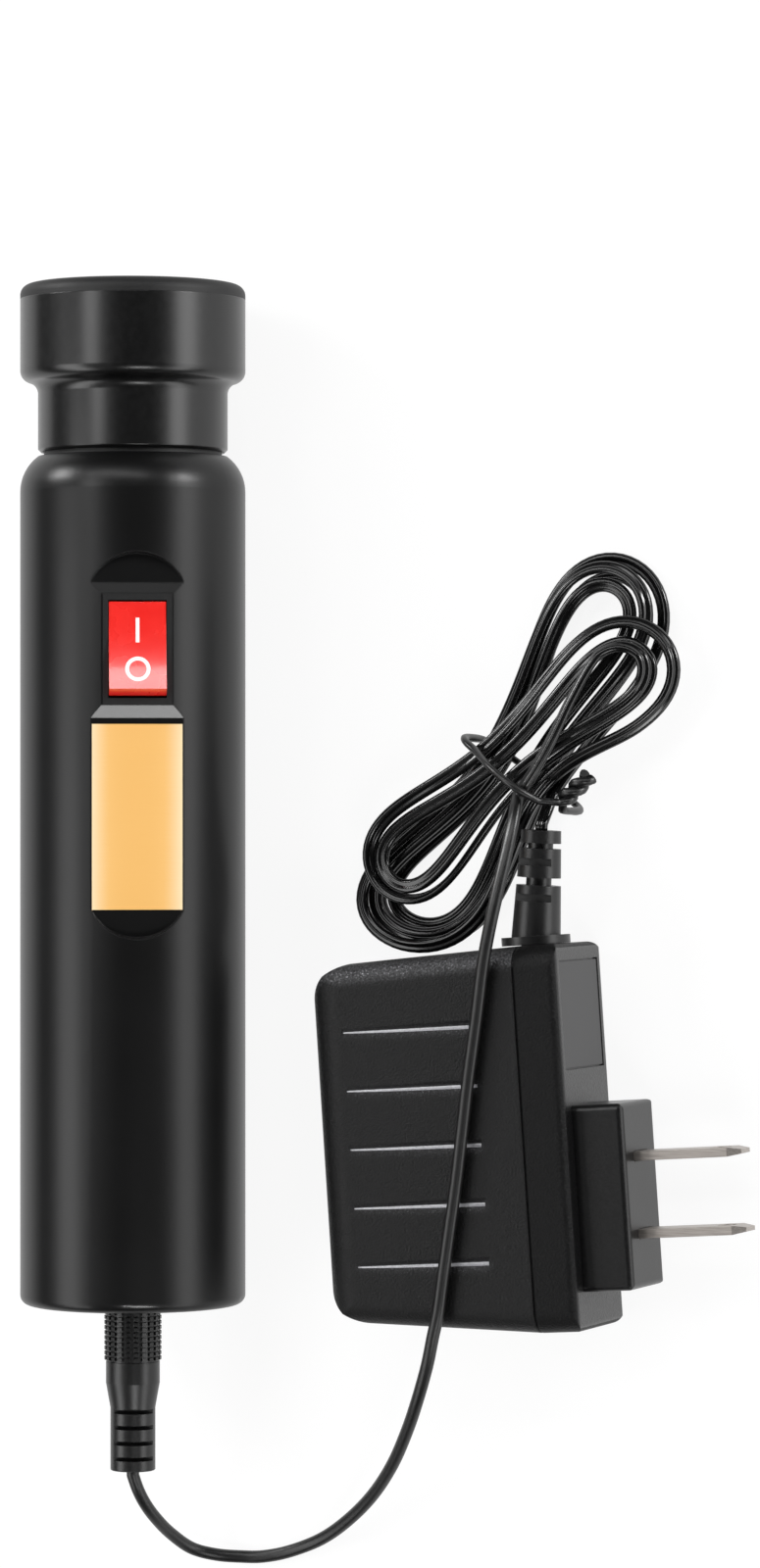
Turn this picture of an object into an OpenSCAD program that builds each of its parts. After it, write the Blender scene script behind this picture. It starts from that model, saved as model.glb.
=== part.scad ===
// Egg candling lamp with a plug-in supply, lying on a table.
// Millimetres, +Z up, the lamp along Y with its egg seat at +Y.

/* [Barrel] */
// Outer diameter of the barrel and of the egg cup
barrel_d = 38; // [36:0.5:42]
// Length of the barrel
barrel_length = 143; // [130:1:160]
// Wall of the barrel
barrel_wall = 3; // [2.4:0.1:4]
// Height of the round shoulder under the head
shoulder_height = 6; // [5:0.1:6.6]
// How far the shoulder's upper edge lies inside the barrel's side
shoulder_in = 3; // [2:0.1:4]
// Radius of the edge round the base
base_edge_r = 1.6; // [0.5:0.1:2.5]
// Thickness of the barrel's top ring
top_ring = 7; // [5:0.5:10]
// Turn of the switch side away from straight up, in degrees
face_roll = 28; // [0:1:40]

/* [Flat, switch and label] */
// Width of the milled flat
flat_width = 15.4; // [12:0.2:18]
// Radius of the flat's rounded ends
flat_end_r = 8.6; // [8:0.1:10]
// Lower end of the straight part of the flat, above the base
flat_low = 66.9; // [60:0.5:72]
// Length of the straight part of the flat
flat_length = 54.5; // [52:0.1:60]
// Width of the raised switch platform
platform_width = 11.9; // [11.8:0.1:13]
// Length of the platform's top
platform_length = 18.6; // [18.4:0.2:22]
// Length of the platform's slope towards the head
slope_high = 1.7; // [1:0.1:3]
// Length of the platform's slope towards the base
slope_low = 2.1; // [1:0.1:3]
// Gap between the label plate and the platform's slope
label_gap = 1; // [0.4:0.1:4]
// Width of the label plate
label_width = 15; // [10:0.2:15]
// Thickness of the label plate
label_thick = 0.3; // [0.2:0.05:0.5]
// Width of the rocker
rocker_width = 9.5; // [8:0.1:9.6]
// Half length of the rocker's top, level
rocker_half = 7.3; // [6:0.1:7.4]
// Height of the rocker's ends over the platform, level
rocker_rise = 1.75; // [1.2:0.05:2]
// Dip in the middle of the rocker's top
rocker_dip = 0.7; // [0.3:0.1:1]
// Depth of the rocker's pivot under the platform
pivot_depth = 2; // [1.8:0.1:2.4]
// Tilt of the rocker to either side of level, in degrees
rocker_tilt = 9; // [6:0.5:10]
// Depth of the switch housing under the platform
switch_depth = 11; // [10:0.5:13]

/* [Head] */
// Gap between barrel and head
neck_gap = 0.7; // [0.6:0.1:2]
// Diameter of the head's lower collar
collar_d = 32; // [30:0.5:34]
// Length of the lower collar
collar_length = 11.8; // [8:0.2:14]
// Height of the egg cup
cup_height = 14; // [12:0.1:18]
// Radius of the cup's lower edge
cup_edge_r = 2; // [1.6:0.1:2.4]
// Radius of the hollow between collar and cup
cup_root_r = 2; // [1.6:0.1:2.4]
// Height of the soft egg seat over the cup
seat_height = 2.5; // [2:0.1:3]
// Radius of the egg seat's outer edge
seat_edge_r = 1.8; // [1:0.1:2.4]
// Width of the soft rim round the mouth that the egg closes
seat_width = 5.6; // [5:0.1:7]
// Inner diameter of the head's sleeve
sleeve_d = 25; // [23:0.2:25.4]
// Length of the sleeve inside the barrel
sleeve_length = 9; // [6:0.5:12]
// Thickness of the window
window_thick = 2; // [1:0.1:3]

/* [Jack and plug] */
// Diameter of the jack's threaded body
jack_d = 8; // [7.6:0.1:9]
// Diameter of the jack's flange
jack_flange_d = 11; // [10:0.2:13]
// Outer diameter of the plug's metal sleeve
plug_sleeve_d = 5.5; // [5:0.1:5.6]
// Diameter of the jack's centre pin
jack_pin_d = 2.1; // [1.6:0.1:2.5]
// Length of the plug's metal sleeve
plug_sleeve_length = 9.5; // [8:0.5:10]
// Diameter of the plug's ribbed grip
grip_d = 9.6; // [8:0.1:11]
// Length of the ribbed grip
grip_length = 9.4; // [6:0.2:10]
// Length of the smooth band and taper behind the grip
grip_taper = 7.8; // [5:0.2:10]
// Diameter of the plug's bend relief
relief_d = 7.6; // [6:0.1:8.4]
// Length of the plug's bend relief
relief_length = 10.6; // [8:0.2:16]
// Slots in the plug's bend relief
relief_slots = 4; // [2:1:5]

/* [Lead] */
// Diameter of the lead
lead_d = 2.1; // [1.8:0.1:2.4]
// Loops in the tied hank
hank_loops = 6.5; // [6.5:1:6.5]
// Step between neighbouring loops
hank_step = 2.9; // [2.85:0.05:3]
// Diameter of the hank's tie
tie_d = 1.3; // [1:0.1:1.4]

/* [Adapter] */
// Thickness of the adapter between its broad sides
adapter_thick = 22; // [20:0.5:26]
// Height of the adapter at its parting line
adapter_height = 63.4; // [60:0.2:70]
// Depth of the adapter's rear case
rear_depth = 37.8; // [32:0.2:40]
// Depth of the adapter's front cover
cover_depth = 7.2; // [6:0.1:9]
// Wall of the adapter's case
case_wall = 2; // [1.6:0.1:2.6]
// Drop of the rear case's top edge towards the back
top_draft = 1.5; // [0:0.1:3]
// Rise of the rear case's bottom edge towards the back
bottom_draft = 3.1; // [0:0.1:4]
// Radius of the rear case's corners
rear_r = 9; // [5:0.2:10]
// Radius of the rear case's back edges
back_r = 6; // [3:0.2:7]
// Radius of the case's long edges
edge_r = 3.6; // [2:0.1:4]
// Radius of the front cover's edges
cover_r = 1.3; // [0.5:0.1:2]
// Grooves on each broad side
groove_count = 5; // [3:1:5]
// Step between grooves
groove_step = 9.7; // [9:0.1:10.5]
// Length of a groove
groove_length = 23.4; // [15:0.2:26]
// Width of a groove
groove_width = 1.3; // [1:0.1:1.6]
// Depth of a groove at its blunt end
groove_depth = 0.55; // [0.4:0.05:0.6]
// Width of the prong block
block_width = 15; // [13:0.2:18]
// Height of the prong block
block_height = 30.5; // [26:0.5:34]
// Depth of the prong block in front of the cover
block_depth = 8.7; // [6:0.1:10]
// Distance between the two blades
blade_pitch = 12.7; // [12.7:0.1:12.7]
// Width of a blade
blade_width = 6.35; // [6.2:0.05:6.5]
// Thickness of a blade
blade_thick = 1.5; // [1.4:0.05:1.6]
// Length of a blade in front of the block
blade_length = 18.2; // [15.9:0.1:18.3]
// Diameter of the hole in a blade
blade_hole_d = 3.2; // [3:0.1:3.4]
// Diameter of the adapter's bend relief at its foot
boot_d = 8.2; // [7:0.1:9]
// Diameter of the bend relief at its tip
boot_tip_d = 6.6; // [5.6:0.1:7]
// Length of the bend relief
boot_length = 18.2; // [14:0.1:20]

/* [Hidden] */

black = [0.07, 0.07, 0.075];
soft_black = [0.1, 0.1, 0.1];
red = [0.85, 0.07, 0.06];
gold = [0.9, 0.72, 0.4];
steel = [0.75, 0.75, 0.77];
brass = [0.8, 0.65, 0.35];
clear = [0.85, 0.9, 0.95];
white = [0.93, 0.93, 0.9];
green = [0.1, 0.35, 0.2];
yellow = [0.95, 0.8, 0.25];

round_fn = 96;
small_fn = 32;
// overrun of every cut and the fit of pieces that don't move
over = 1;
fit = 0.05;
// running clearance of a pin in its hole
run = 0.06;
// space left between two moving flat faces
play = 0.1;

barrel_r = barrel_d / 2;
bore_r = barrel_r - barrel_wall;
flat_h = sqrt(pow(barrel_r, 2) - pow(flat_width / 2, 2));
platform_h = sqrt(pow(barrel_r, 2) - pow(platform_width / 2, 2));
flat_high = flat_low + flat_length;
end_chord_share = sqrt(1 - pow(flat_width / 2 / flat_end_r, 2));
slope_gap = 0.3;
platform_high = flat_high - slope_gap - slope_high;
platform_low = platform_high - platform_length;
switch_up = (platform_high + platform_low) / 2;
label_length = platform_low - slope_low - label_gap - flat_low;

head_low = barrel_length + neck_gap;
cup_low = head_low + collar_length;
cup_high = cup_low + cup_height;
lamp_length = cup_high + seat_height;
sleeve_low = head_low - sleeve_length;
collar_r = collar_d / 2;
sleeve_r = sleeve_d / 2;
sleeve_wall = 0.9;
neck_r = sleeve_r + sleeve_wall;
mouth_r = barrel_r - seat_width;
seat_skirt = 3;
seat_lip = 1.2;
window_ledge = 0.9;
funnel_depth = 6.3;
window_high = cup_high - seat_skirt - funnel_depth;
window_low = window_high - window_thick;
reflector_height = 7.8;
board_thick = 1.6;
board_high = window_low - reflector_height;
board_low = board_high - board_thick;

module in_lamp() {
    translate([0, -lamp_length / 2, barrel_r])
        rotate([-90, 0, 0])
            rotate([0, 0, face_roll])
                children();
}

module in_switch() {
    in_lamp()
        translate([0, 0, switch_up])
            rotate([90, 0, 0])
                translate([0, 0, platform_h])
                    children();
}

module disc(r, low, high) {
    translate([0, 0, low])
        cylinder(r = r, h = high - low, $fn = round_fn);
}

module ring(r_out, r_in, low, high) {
    difference() {
        disc(r_out, low, high);
        disc(r_in, low - over, high + over);
    }
}

module block(size) {
    translate([0, 0, size[2] / 2])
        cube(size, center = true);
}

// barrel: a tube with a round shoulder, a milled flat and a raised switch platform
switch_wall = 0.6;
tip_gap = 0.15;
end_wall = 0.5;
hole_width = rocker_width + 2 * (play + switch_wall);
rocker_reach = sqrt(pow(rocker_half, 2) + pow(rocker_rise + pivot_depth, 2));
well_half = rocker_reach + tip_gap;
hole_length = 2 * (well_half + end_wall + fit);

module turned_barrel() {
    shoulder_r = (pow(shoulder_height, 2) + pow(shoulder_in, 2)) / (2 * shoulder_in);
    bend = [barrel_r - shoulder_r, barrel_length - shoulder_height];
    rotate_extrude($fn = round_fn)
        union() {
            translate([0, base_edge_r])
                square([barrel_r, bend[1] - base_edge_r]);
            square([barrel_r - base_edge_r, bend[1]]);
            translate([barrel_r - base_edge_r, base_edge_r])
                circle(r = base_edge_r, $fn = small_fn);
            translate([0, bend[1]])
                square([bend[0], shoulder_height]);
            intersection() {
                translate(bend)
                    circle(r = shoulder_r, $fn = round_fn);
                translate([0, bend[1]])
                    square([barrel_r, shoulder_height]);
            }
        }
}

module flat_plan() {
    end_in = flat_end_r * end_chord_share;
    translate([-flat_width / 2 - over, flat_low + end_in])
        square([flat_width + 2 * over, flat_length - 2 * end_in]);
    for (end = [flat_low + end_in, flat_high - end_in])
        translate([0, end])
            circle(r = flat_end_r, $fn = round_fn);
}

// what the mill leaves standing under the switch: level on top, sloped at both ends
module platform() {
    rise = platform_h - flat_h;
    root_share = (platform_h - bore_r) / rise;
    rotate([90, 0, 90])
        linear_extrude(barrel_d, center = true)
            polygon([[-bore_r, platform_high + slope_high * root_share], [-platform_h, platform_high],
                [-platform_h, platform_low], [-bore_r, platform_low - slope_low * root_share]]);
}

module barrel() {
    color(black) in_lamp() difference() {
        turned_barrel();
        difference() {
            translate([0, -flat_h, 0])
                rotate([90, 0, 0])
                    linear_extrude(barrel_wall)
                        flat_plan();
            platform();
        }
        disc(bore_r, -over, barrel_length - top_ring);
        disc(neck_r + fit, 0, barrel_length + over);
        translate([0, -bore_r, switch_up])
            cube([hole_width, 4 * barrel_wall, hole_length], center = true);
    }
}

module label_plate() {
    color(gold) in_lamp()
        translate([-label_width / 2, -flat_h - label_thick, flat_low])
            cube([label_width, label_thick, label_length]);
}

// base: a cap in the end of the tube, with the power jack in its middle
cap_thick = 4;
jack_flange = 1.2;
jack_length = 13;
jack_nut_d = 11.4;
jack_nut_height = 2.2;
tag_width = 2;
tag_thick = 0.4;
tag_length = 5;
tag_off = 2.8;

module end_cap() {
    color(black) in_lamp() difference() {
        disc(bore_r - fit, 0, cap_thick);
        disc(jack_flange_d / 2 + fit, -over, jack_flange);
        disc(jack_d / 2 + fit, 0, cap_thick + over);
    }
}

socket_r = plug_sleeve_d / 2 + play;
socket_depth = plug_sleeve_length + play;
jack_pin_tag = 4.5;
jack_pin_high = jack_length + jack_pin_tag;

module jack_body() {
    color(soft_black) in_lamp() difference() {
        union() {
            disc(jack_flange_d / 2, 0, jack_flange);
            disc(jack_d / 2, 0, jack_length);
        }
        disc(socket_r, -over, socket_depth);
        disc(jack_pin_d / 2, 0, jack_length + over);
        spring_room();
    }
}

module spring_room() {
    translate([socket_r - spring_in, -spring_width / 2, spring_low])
        cube([spring_thick + spring_in, spring_width, jack_length + over]);
}

spring_thick = 0.4;
spring_in = 0.02;
spring_width = 2.2;
spring_low = 3;

module jack_spring() {
    color(brass) in_lamp()
        difference() {
            translate([socket_r, -spring_width / 2, spring_low])
                cube([spring_thick, spring_width, jack_length + tag_length - spring_low]);
            translate([socket_r - over, 0, jack_length + tag_length - tag_thick * 4])
                rotate([0, 90, 0])
                    cylinder(d = tag_thick * 2, h = spring_thick + 2 * over, $fn = small_fn);
        }
}

module jack_pin() {
    color(brass) in_lamp() union() {
        pin_low = over;
        disc(jack_pin_d / 2, pin_low, jack_length);
        difference() {
            disc(jack_pin_d / 2, jack_length, jack_pin_high);
            disc(jack_pin_d / 4, jack_pin_high - 2 * over, jack_pin_high + over);
        }
    }
}

module jack_nut() {
    color(steel) in_lamp() difference() {
        translate([0, 0, cap_thick])
            cylinder(d = jack_nut_d, h = jack_nut_height, $fn = 6);
        disc(jack_d / 2 + fit, cap_thick - over, cap_thick + jack_nut_height + over);
    }
}

// head: a stepped cup with a soft seat, over a window, reflector and emitter
module head_collar() {
    foot_edge = 0.5;
    seat_room = mouth_r + seat_lip + fit;
    bends = cup_edge_r + cup_root_r;
    bend_x = barrel_r - collar_r - bends;
    bend_y = sqrt(pow(bends, 2) - pow(bend_x, 2));
    root = [collar_r + cup_root_r, cup_low - bend_y / 2];
    edge = [barrel_r - cup_edge_r, cup_low + bend_y / 2];
    meet = root + (edge - root) * cup_root_r / bends;
    color(black) in_lamp() difference() {
        rotate_extrude($fn = round_fn)
            union() {
                translate([0, sleeve_low])
                    square([neck_r, sleeve_length + over]);
                polygon([[0, head_low], [collar_r - foot_edge, head_low], [collar_r, head_low + foot_edge],
                    [collar_r, root[1]], [0, root[1]]]);
                difference() {
                    polygon([[0, root[1]], root, meet, edge, [0, edge[1]]]);
                    translate(root)
                        circle(r = cup_root_r, $fn = round_fn);
                }
                translate(edge)
                    circle(r = cup_edge_r, $fn = round_fn);
                translate([0, edge[1]])
                    square([barrel_r, cup_high - edge[1]]);
            }
        disc(sleeve_r, sleeve_low - over, window_high);
        translate([0, 0, window_high - fit])
            cylinder(r1 = sleeve_r - window_ledge, r2 = mouth_r,
                h = cup_high - seat_skirt - window_high + fit, $fn = round_fn);
        disc(seat_room, cup_high - seat_skirt, cup_high + over);
    }
}

module neck_gasket() {
    gasket_in = 1;
    color(soft_black) in_lamp()
        ring(collar_r - gasket_in, neck_r + fit, barrel_length, head_low);
}

module egg_seat() {
    color(soft_black) in_lamp() rotate_extrude($fn = round_fn)
        difference() {
            union() {
                translate([0, cup_high - seat_skirt])
                    square([mouth_r + seat_lip, seat_skirt]);
                translate([0, cup_high])
                    square([barrel_r - seat_edge_r, seat_height]);
                translate([0, cup_high])
                    square([barrel_r, seat_height - seat_edge_r]);
                intersection() {
                    translate([barrel_r - seat_edge_r, lamp_length - seat_edge_r])
                        circle(r = seat_edge_r, $fn = round_fn);
                    translate([0, cup_high])
                        square([barrel_r, seat_height]);
                }
            }
            translate([0, cup_high - seat_skirt - over])
                square([mouth_r, seat_skirt + seat_height + 2 * over]);
        }
}

module window() {
    color(clear) in_lamp()
        disc(sleeve_r - play, window_low, window_high);
}

module reflector() {
    foot_r = 4.6;
    throat_r = 3.4;
    rim = 0.8;
    wall = 1;
    rim_r = sleeve_r - 2 * play;
    color(steel) in_lamp() rotate_extrude($fn = round_fn)
        polygon([[throat_r, board_high], [foot_r, board_high], [rim_r, window_low - rim],
            [rim_r, window_low], [rim_r - wall, window_low]]);
}

emitter_side = 4;
emitter_base = 0.8;
dome_r = 1.7;
screw_out = 8;
screw_head_d = 3.6;
screw_head = 1.2;
screw_d = 2;
screw_length = 6;

module led_board() {
    color(white) in_lamp() difference() {
        disc(sleeve_r - 2 * play, board_low, board_high);
        for (turn = [0, 180])
            rotate([0, 0, turn])
                translate([screw_out, 0, 0])
                    disc(screw_d / 2 + fit, board_low - over, board_high + over);
    }
}

module led_emitter() {
    color(yellow) in_lamp() translate([0, 0, board_high]) union() {
        block([emitter_side, emitter_side, emitter_base]);
        intersection() {
            translate([0, 0, emitter_base])
                sphere(r = dome_r, $fn = small_fn);
            translate([0, 0, emitter_base - fit])
                block([emitter_side, emitter_side, emitter_side]);
        }
    }
}

module board_screws() {
    color(steel) in_lamp() for (turn = [0, 180])
        rotate([0, 0, turn])
            translate([screw_out, 0, 0])
                difference() {
                    union() {
                        disc(screw_head_d / 2, board_high, board_high + screw_head);
                        disc(screw_d / 2, board_high - screw_length, board_high + screw_head / 2);
                    }
                    translate([0, 0, board_high + screw_head])
                        cube([screw_head_d, screw_d / 4, screw_head], center = true);
                }
}

module heat_sink() {
    fin_gap = 1.6;
    fin_count = 8;
    core_r = 10;
    wire_way = 3;
    low = sleeve_low + over;
    color(steel) in_lamp() difference() {
        disc(sleeve_r - play, low, board_low);
        disc(wire_way / 2, low - over, board_low + over);
        for (fin = [0:fin_count - 1])
            rotate([0, 0, (fin + 0.5) * 360 / fin_count])
                translate([core_r, -fin_gap / 2, low - over])
                    cube([sleeve_r, fin_gap, board_low - low - over]);
        for (turn = [0, 180])
            rotate([0, 0, turn])
                translate([screw_out, 0, 0])
                    disc(screw_d / 2 + fit, board_high - screw_length - over, board_low + over);
    }
}

// switch: a rocker in a snap-in housing, over a see-saw contact
switch_floor = 1;
flange_over = 0.35;
flange_thick = 0.7;
pin_d = 2;
pin_in = 0.5;
lever_z = -7.4;
lever_length = 11;
lever_width = 4;
lever_thick = 0.5;
lever_rib_d = 1.2;
lever_tilt = 7;
saddle_wall = 0.6;
term_width = 4;
term_thick = 0.6;
term_out = 4.5;
contact_y = -4.4;
post_y = 4.4;
contact_gap = 0.06;
contact_drop = abs(contact_y) * sin(lever_tilt) + lever_thick / 2 / cos(lever_tilt);
contact_top = lever_z - contact_drop - contact_gap;
floor_z = -switch_depth + switch_floor;
body_width = rocker_width + 2 * (play + switch_wall) - 2 * fit;
body_length = hole_length - 2 * fit;

module switch_housing() {
    mouth_half = sqrt(pow(rocker_reach, 2) - pow(pivot_depth, 2)) + tip_gap;
    color(soft_black) in_switch() difference() {
        union() {
            block([body_width + 2 * flange_over, body_length + 2 * flange_over, flange_thick]);
            translate([0, 0, -switch_depth])
                block([body_width, body_length, switch_depth + flange_thick / 2]);
        }
        translate([0, 0, floor_z])
            block([rocker_width + 2 * play, 2 * well_half, -floor_z]);
        block([rocker_width + 2 * play, 2 * mouth_half, flange_thick + over]);
        translate([0, 0, -pivot_depth])
            rotate([0, 90, 0])
                cylinder(d = pin_d + 2 * run, h = rocker_width + 2 * (play + pin_in + run), center = true,
                    $fn = small_fn);
        for (y = [0, contact_y])
            translate([0, y, -switch_depth - over])
                block([term_width + 2 * fit, term_thick + 2 * fit, switch_floor + 2 * over]);
    }
}

module switch_terminals() {
    saddle_half = lever_rib_d / 2 + saddle_wall;
    color(brass) in_switch() union() {
        translate([0, 0, -switch_depth - term_out])
            difference() {
                union() {
                    block([term_width, term_thick, term_out + switch_depth + lever_z]);
                    translate([0, 0, term_out + switch_floor])
                        block([term_width, 2 * saddle_half, lever_z - floor_z]);
                }
                translate([0, 0, term_out + switch_depth + lever_z])
                    rotate([0, 90, 0])
                        cylinder(d = lever_rib_d + 2 * run, h = 2 * term_width, center = true,
                            $fn = small_fn);
                translate([0, 0, term_out + switch_depth + lever_z])
                    rotate([0, 0, 90])
                        lever_sweep_room();
                tag_hole();
            }
        translate([0, contact_y, -switch_depth - term_out])
            difference() {
                block([term_width, term_thick, term_out + switch_depth + contact_top]);
                tag_hole();
            }
    }
}

// the room above the saddle that the see-saw swings through
module lever_sweep_room() {
    clear_drop = (lever_rib_d / 2 + saddle_wall) * sin(lever_tilt) + lever_thick;
    translate([0, 0, -clear_drop])
        block([lever_length, 2 * term_width, 2 * clear_drop]);
}

module tag_hole() {
    tag_hole_d = 1.2;
    translate([0, 0, tag_hole_d])
        rotate([90, 0, 0])
            cylinder(d = tag_hole_d, h = 2 * over, center = true, $fn = small_fn);
}

module contact_lever() {
    color(brass) in_switch()
        translate([0, 0, lever_z])
            rotate([lever_tilt, 0, 0])
                union() {
                    cube([lever_width, lever_length, lever_thick], center = true);
                    rotate([0, 90, 0])
                        cylinder(d = lever_rib_d, h = lever_width, center = true, $fn = small_fn);
                }
}

module rocker() {
    skirt_z = -0.5;
    hub_d = 4;
    nose_d = 2.4;
    nose_reach = 4.4;
    dish_r = (pow(rocker_half, 2) + pow(rocker_dip, 2)) / (2 * rocker_dip);
    dish_z = rocker_rise - rocker_dip + dish_r + pivot_depth;
    color(red) in_switch()
        translate([0, 0, -pivot_depth])
            rotate([-rocker_tilt, 0, 0])
                union() {
                    rotate([90, 0, 90])
                        linear_extrude(rocker_width, center = true)
                            difference() {
                                intersection() {
                                    circle(r = rocker_reach, $fn = round_fn);
                                    translate([-rocker_reach, pivot_depth + skirt_z])
                                        square([2 * rocker_reach, rocker_reach]);
                                }
                                translate([0, dish_z])
                                    circle(r = dish_r, $fn = 4 * round_fn);
                                translate([-2 * rocker_reach, pivot_depth + rocker_rise])
                                    square([4 * rocker_reach, rocker_reach]);
                            }
                    rotate([0, 90, 0])
                        cylinder(d = hub_d, h = rocker_width, center = true, $fn = small_fn);
                    rotate([0, 90, 0])
                        cylinder(d = pin_d, h = rocker_width + 2 * (play + pin_in), center = true,
                            $fn = small_fn);
                    translate([0, 0, -nose_reach + nose_d / 2])
                        cylinder(d = nose_d, h = nose_reach, $fn = small_fn);
                    translate([0, 0, -nose_reach + nose_d / 2])
                        sphere(d = nose_d, $fn = small_fn);
                }
}

// a tube of straight rings along a line of points
lead_sides = 8;
lead_steps = 3;
function unit(v) = v / norm(v);
function heading(p, i) = i == 0 ? unit(p[1] - p[0])
    : i == len(p) - 1 ? unit(p[i] - p[i - 1]) : unit(p[i + 1] - p[i - 1]);
function ring_at(c, t, up, r, sides) =
    let (side = unit(cross(up, t)), rise = cross(t, side))
    [for (k = [0:sides - 1]) c + r * (cos(k * 360 / sides) * side + sin(k * 360 / sides) * rise)];

module tube(p, d, sides, up = [0, 0, 1]) {
    n = len(p);
    pts = [for (i = [0:n - 1]) each ring_at(p[i], heading(p, i), up, d / 2, sides)];
    walls = [for (i = [0:n - 2], k = [0:sides - 1])
        let (a = i * sides + k, b = i * sides + (k + 1) % sides)
        each [[a, a + sides, b], [b, a + sides, b + sides]]];
    foot = [for (k = [1:sides - 2]) [0, k, k + 1]];
    head = [for (k = [1:sides - 2]) [(n - 1) * sides, (n - 1) * sides + k + 1, (n - 1) * sides + k]];
    polyhedron(points = pts, faces = concat(walls, foot, head), convexity = 10);
}

// a smooth line through route points, with a given number of steps between two of them
function on_curve(a, b, c, d, s) = b + 0.5 * s * ((c - a)
    + s * (2 * a - 5 * b + 4 * c - d + s * (3 * (b - c) + d - a)));
function smooth_line(p, steps) = concat([for (i = [0:len(p) - 2], k = [0:steps - 1])
    on_curve(p[max(i - 1, 0)], p[i], p[i + 1], p[min(i + 2, len(p) - 1)], k / steps)], [p[len(p) - 1]]);

// a smooth line that leaves its first point and meets its last one straight
straight = 0.9;
function straight_ends(from, way, between, to, back) = concat([from],
    smooth_line(concat([from + straight * way], between, [to + straight * back]), lead_steps), [to]);

// thin wires inside the barrel
wire_d = 1.2;
wire_steps = 3;
wire_sides = 6;
switch_in = platform_h - switch_depth - term_out;
solder_gap = 0.3;
sink_low = sleeve_low + over;
jack_top = jack_pin_high + solder_gap;
tag_y = -switch_in + solder_gap + wire_d / 2;
wire_side = 0.72;
tag_side = 1.2;
pin_end = [0, 0, jack_top];
contact_end = [0, tag_y, switch_up + contact_y];
lever_end = [0, tag_y, switch_up];
spring_end = [socket_r + tag_side, 0, jack_length + tag_length + solder_gap];
red_end = [-wire_side, 0, board_low - solder_gap];
black_end = [wire_side, 0, board_low - solder_gap];
sink_in = board_low - solder_gap - sink_low;
// bends of each wire, as steps from its two ends
pin_bends = [[0, 0, 0], [0, 0, 3], [-4, 3, 16], [-5, 4, 50]];
contact_bends = [[-2, 5, -9], [0, 0, -3], [0, 0, 0]];
lever_bends = [[0, 0, 0], [0, 0, 3], [-0.4, 1, 8]];
board_bends = [[0, 0, -sink_in - 4], [0, 0, -sink_in], [0, 0, 0]];
spring_bends = [[0, 0, 0], [0, 0, 3], [2, 3, 12], [3, 4, 50], [2.5, 4, 90]];
function wire_line(from, from_bends, to, to_bends) = smooth_line(concat([for (b = from_bends) from + b],
    [for (b = to_bends) to + b]), wire_steps);

module wire_jack_switch() {
    color(red) in_lamp()
        tube(wire_line(pin_end, pin_bends, contact_end, contact_bends), wire_d, wire_sides, [1, 0, 0]);
}

module wire_switch_led() {
    color(red) in_lamp()
        tube(wire_line(lever_end, lever_bends, red_end, board_bends), wire_d, wire_sides, [1, 0, 0]);
}

module wire_led_jack() {
    color(black) in_lamp()
        tube(wire_line(spring_end, spring_bends, black_end, board_bends), wire_d, wire_sides, [0, 1, 0]);
}

// plug: a metal sleeve on an insulator, in a moulded grip with a slotted bend relief
plug_gap = 0.3;
insulator_d = 4.1;
plug_hole_d = jack_pin_d + 2 * run;
grip_front = -plug_gap;
grip_back = grip_front - grip_length;
relief_front = grip_back - grip_taper;
plug_end = relief_front - relief_length;
sleeve_in = 3;

module plug_sleeve() {
    color(steel) in_lamp()
        ring(plug_sleeve_d / 2, insulator_d / 2, grip_front - sleeve_in, grip_front + plug_sleeve_length);
}

module plug_insulator() {
    color(soft_black) in_lamp() difference() {
        disc(insulator_d / 2, grip_front - sleeve_in, grip_front + plug_sleeve_length);
        disc(plug_hole_d / 2, grip_front - sleeve_in + over, grip_front + plug_sleeve_length + over);
    }
}

// the grip's ribs are cut across into rows of small studs
module plug_grip() {
    stud_ribs = 21;
    stud_d = 0.8;
    stud_rows = 10;
    stud_gap = 0.32;
    slot = 0.7;
    slot_depth = 1.9;
    smooth_d = 9.1;
    smooth_length = 3.6;
    nose_edge = 0.5;
    tail_edge = 0.15;
    slot_step = relief_length / relief_slots;
    slot_off = relief_d / 2 + grip_d / 2 - slot_depth;
    slot_share = 0.2;
    root_d = grip_d - stud_d;
    rib_length = grip_length - nose_edge - stud_gap;
    stud_step = rib_length / stud_rows;
    color(soft_black) in_lamp() difference() {
        union() {
            rotate_extrude($fn = round_fn)
                polygon([[0, plug_end], [relief_d / 2 - tail_edge, plug_end],
                    [relief_d / 2, plug_end + tail_edge], [relief_d / 2, relief_front],
                    [smooth_d / 2, grip_back - smooth_length], [smooth_d / 2, grip_back],
                    [root_d / 2, grip_back], [root_d / 2, grip_front - nose_edge],
                    [root_d / 2 - nose_edge, grip_front], [0, grip_front]]);
            for (rib = [0:stud_ribs - 1])
                rotate([0, 0, rib * 360 / stud_ribs])
                    translate([(root_d - stud_d) / 2, -stud_d / 2, grip_back + stud_gap])
                        cube([stud_d, stud_d, rib_length - stud_gap]);
        }
        for (i = [1:stud_rows - 1])
            ring(grip_d, root_d / 2 + fit, grip_back + i * stud_step,
                grip_back + i * stud_step + stud_gap);
        disc(plug_sleeve_d / 2, grip_front - sleeve_in, grip_front + over);
        for (i = [0:relief_slots - 1], side = [-1, 1])
            translate([0, side * slot_off, relief_front - (i + slot_share) * slot_step])
                cube([grip_d, grip_d, slot], center = true);
    }
}

// the supply's own origin is on the table, in line with the lamp's base
module in_supply() {
    translate([0, -lamp_length / 2, 0])
        children();
}

// hank: long loops drawn in at a tied waist, in layers, from one formula
hank_x = 63.8;
hank_y = 89.2;
fold_half = 33;
waist_half = 2.1;
high_swells = [9.8, 9.2];
low_swells = [12, 9.8];
rings_per_loop = 36;
hank_sides = 6;
waist_lift = 1.7;
hank_drop = 0.2;
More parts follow.
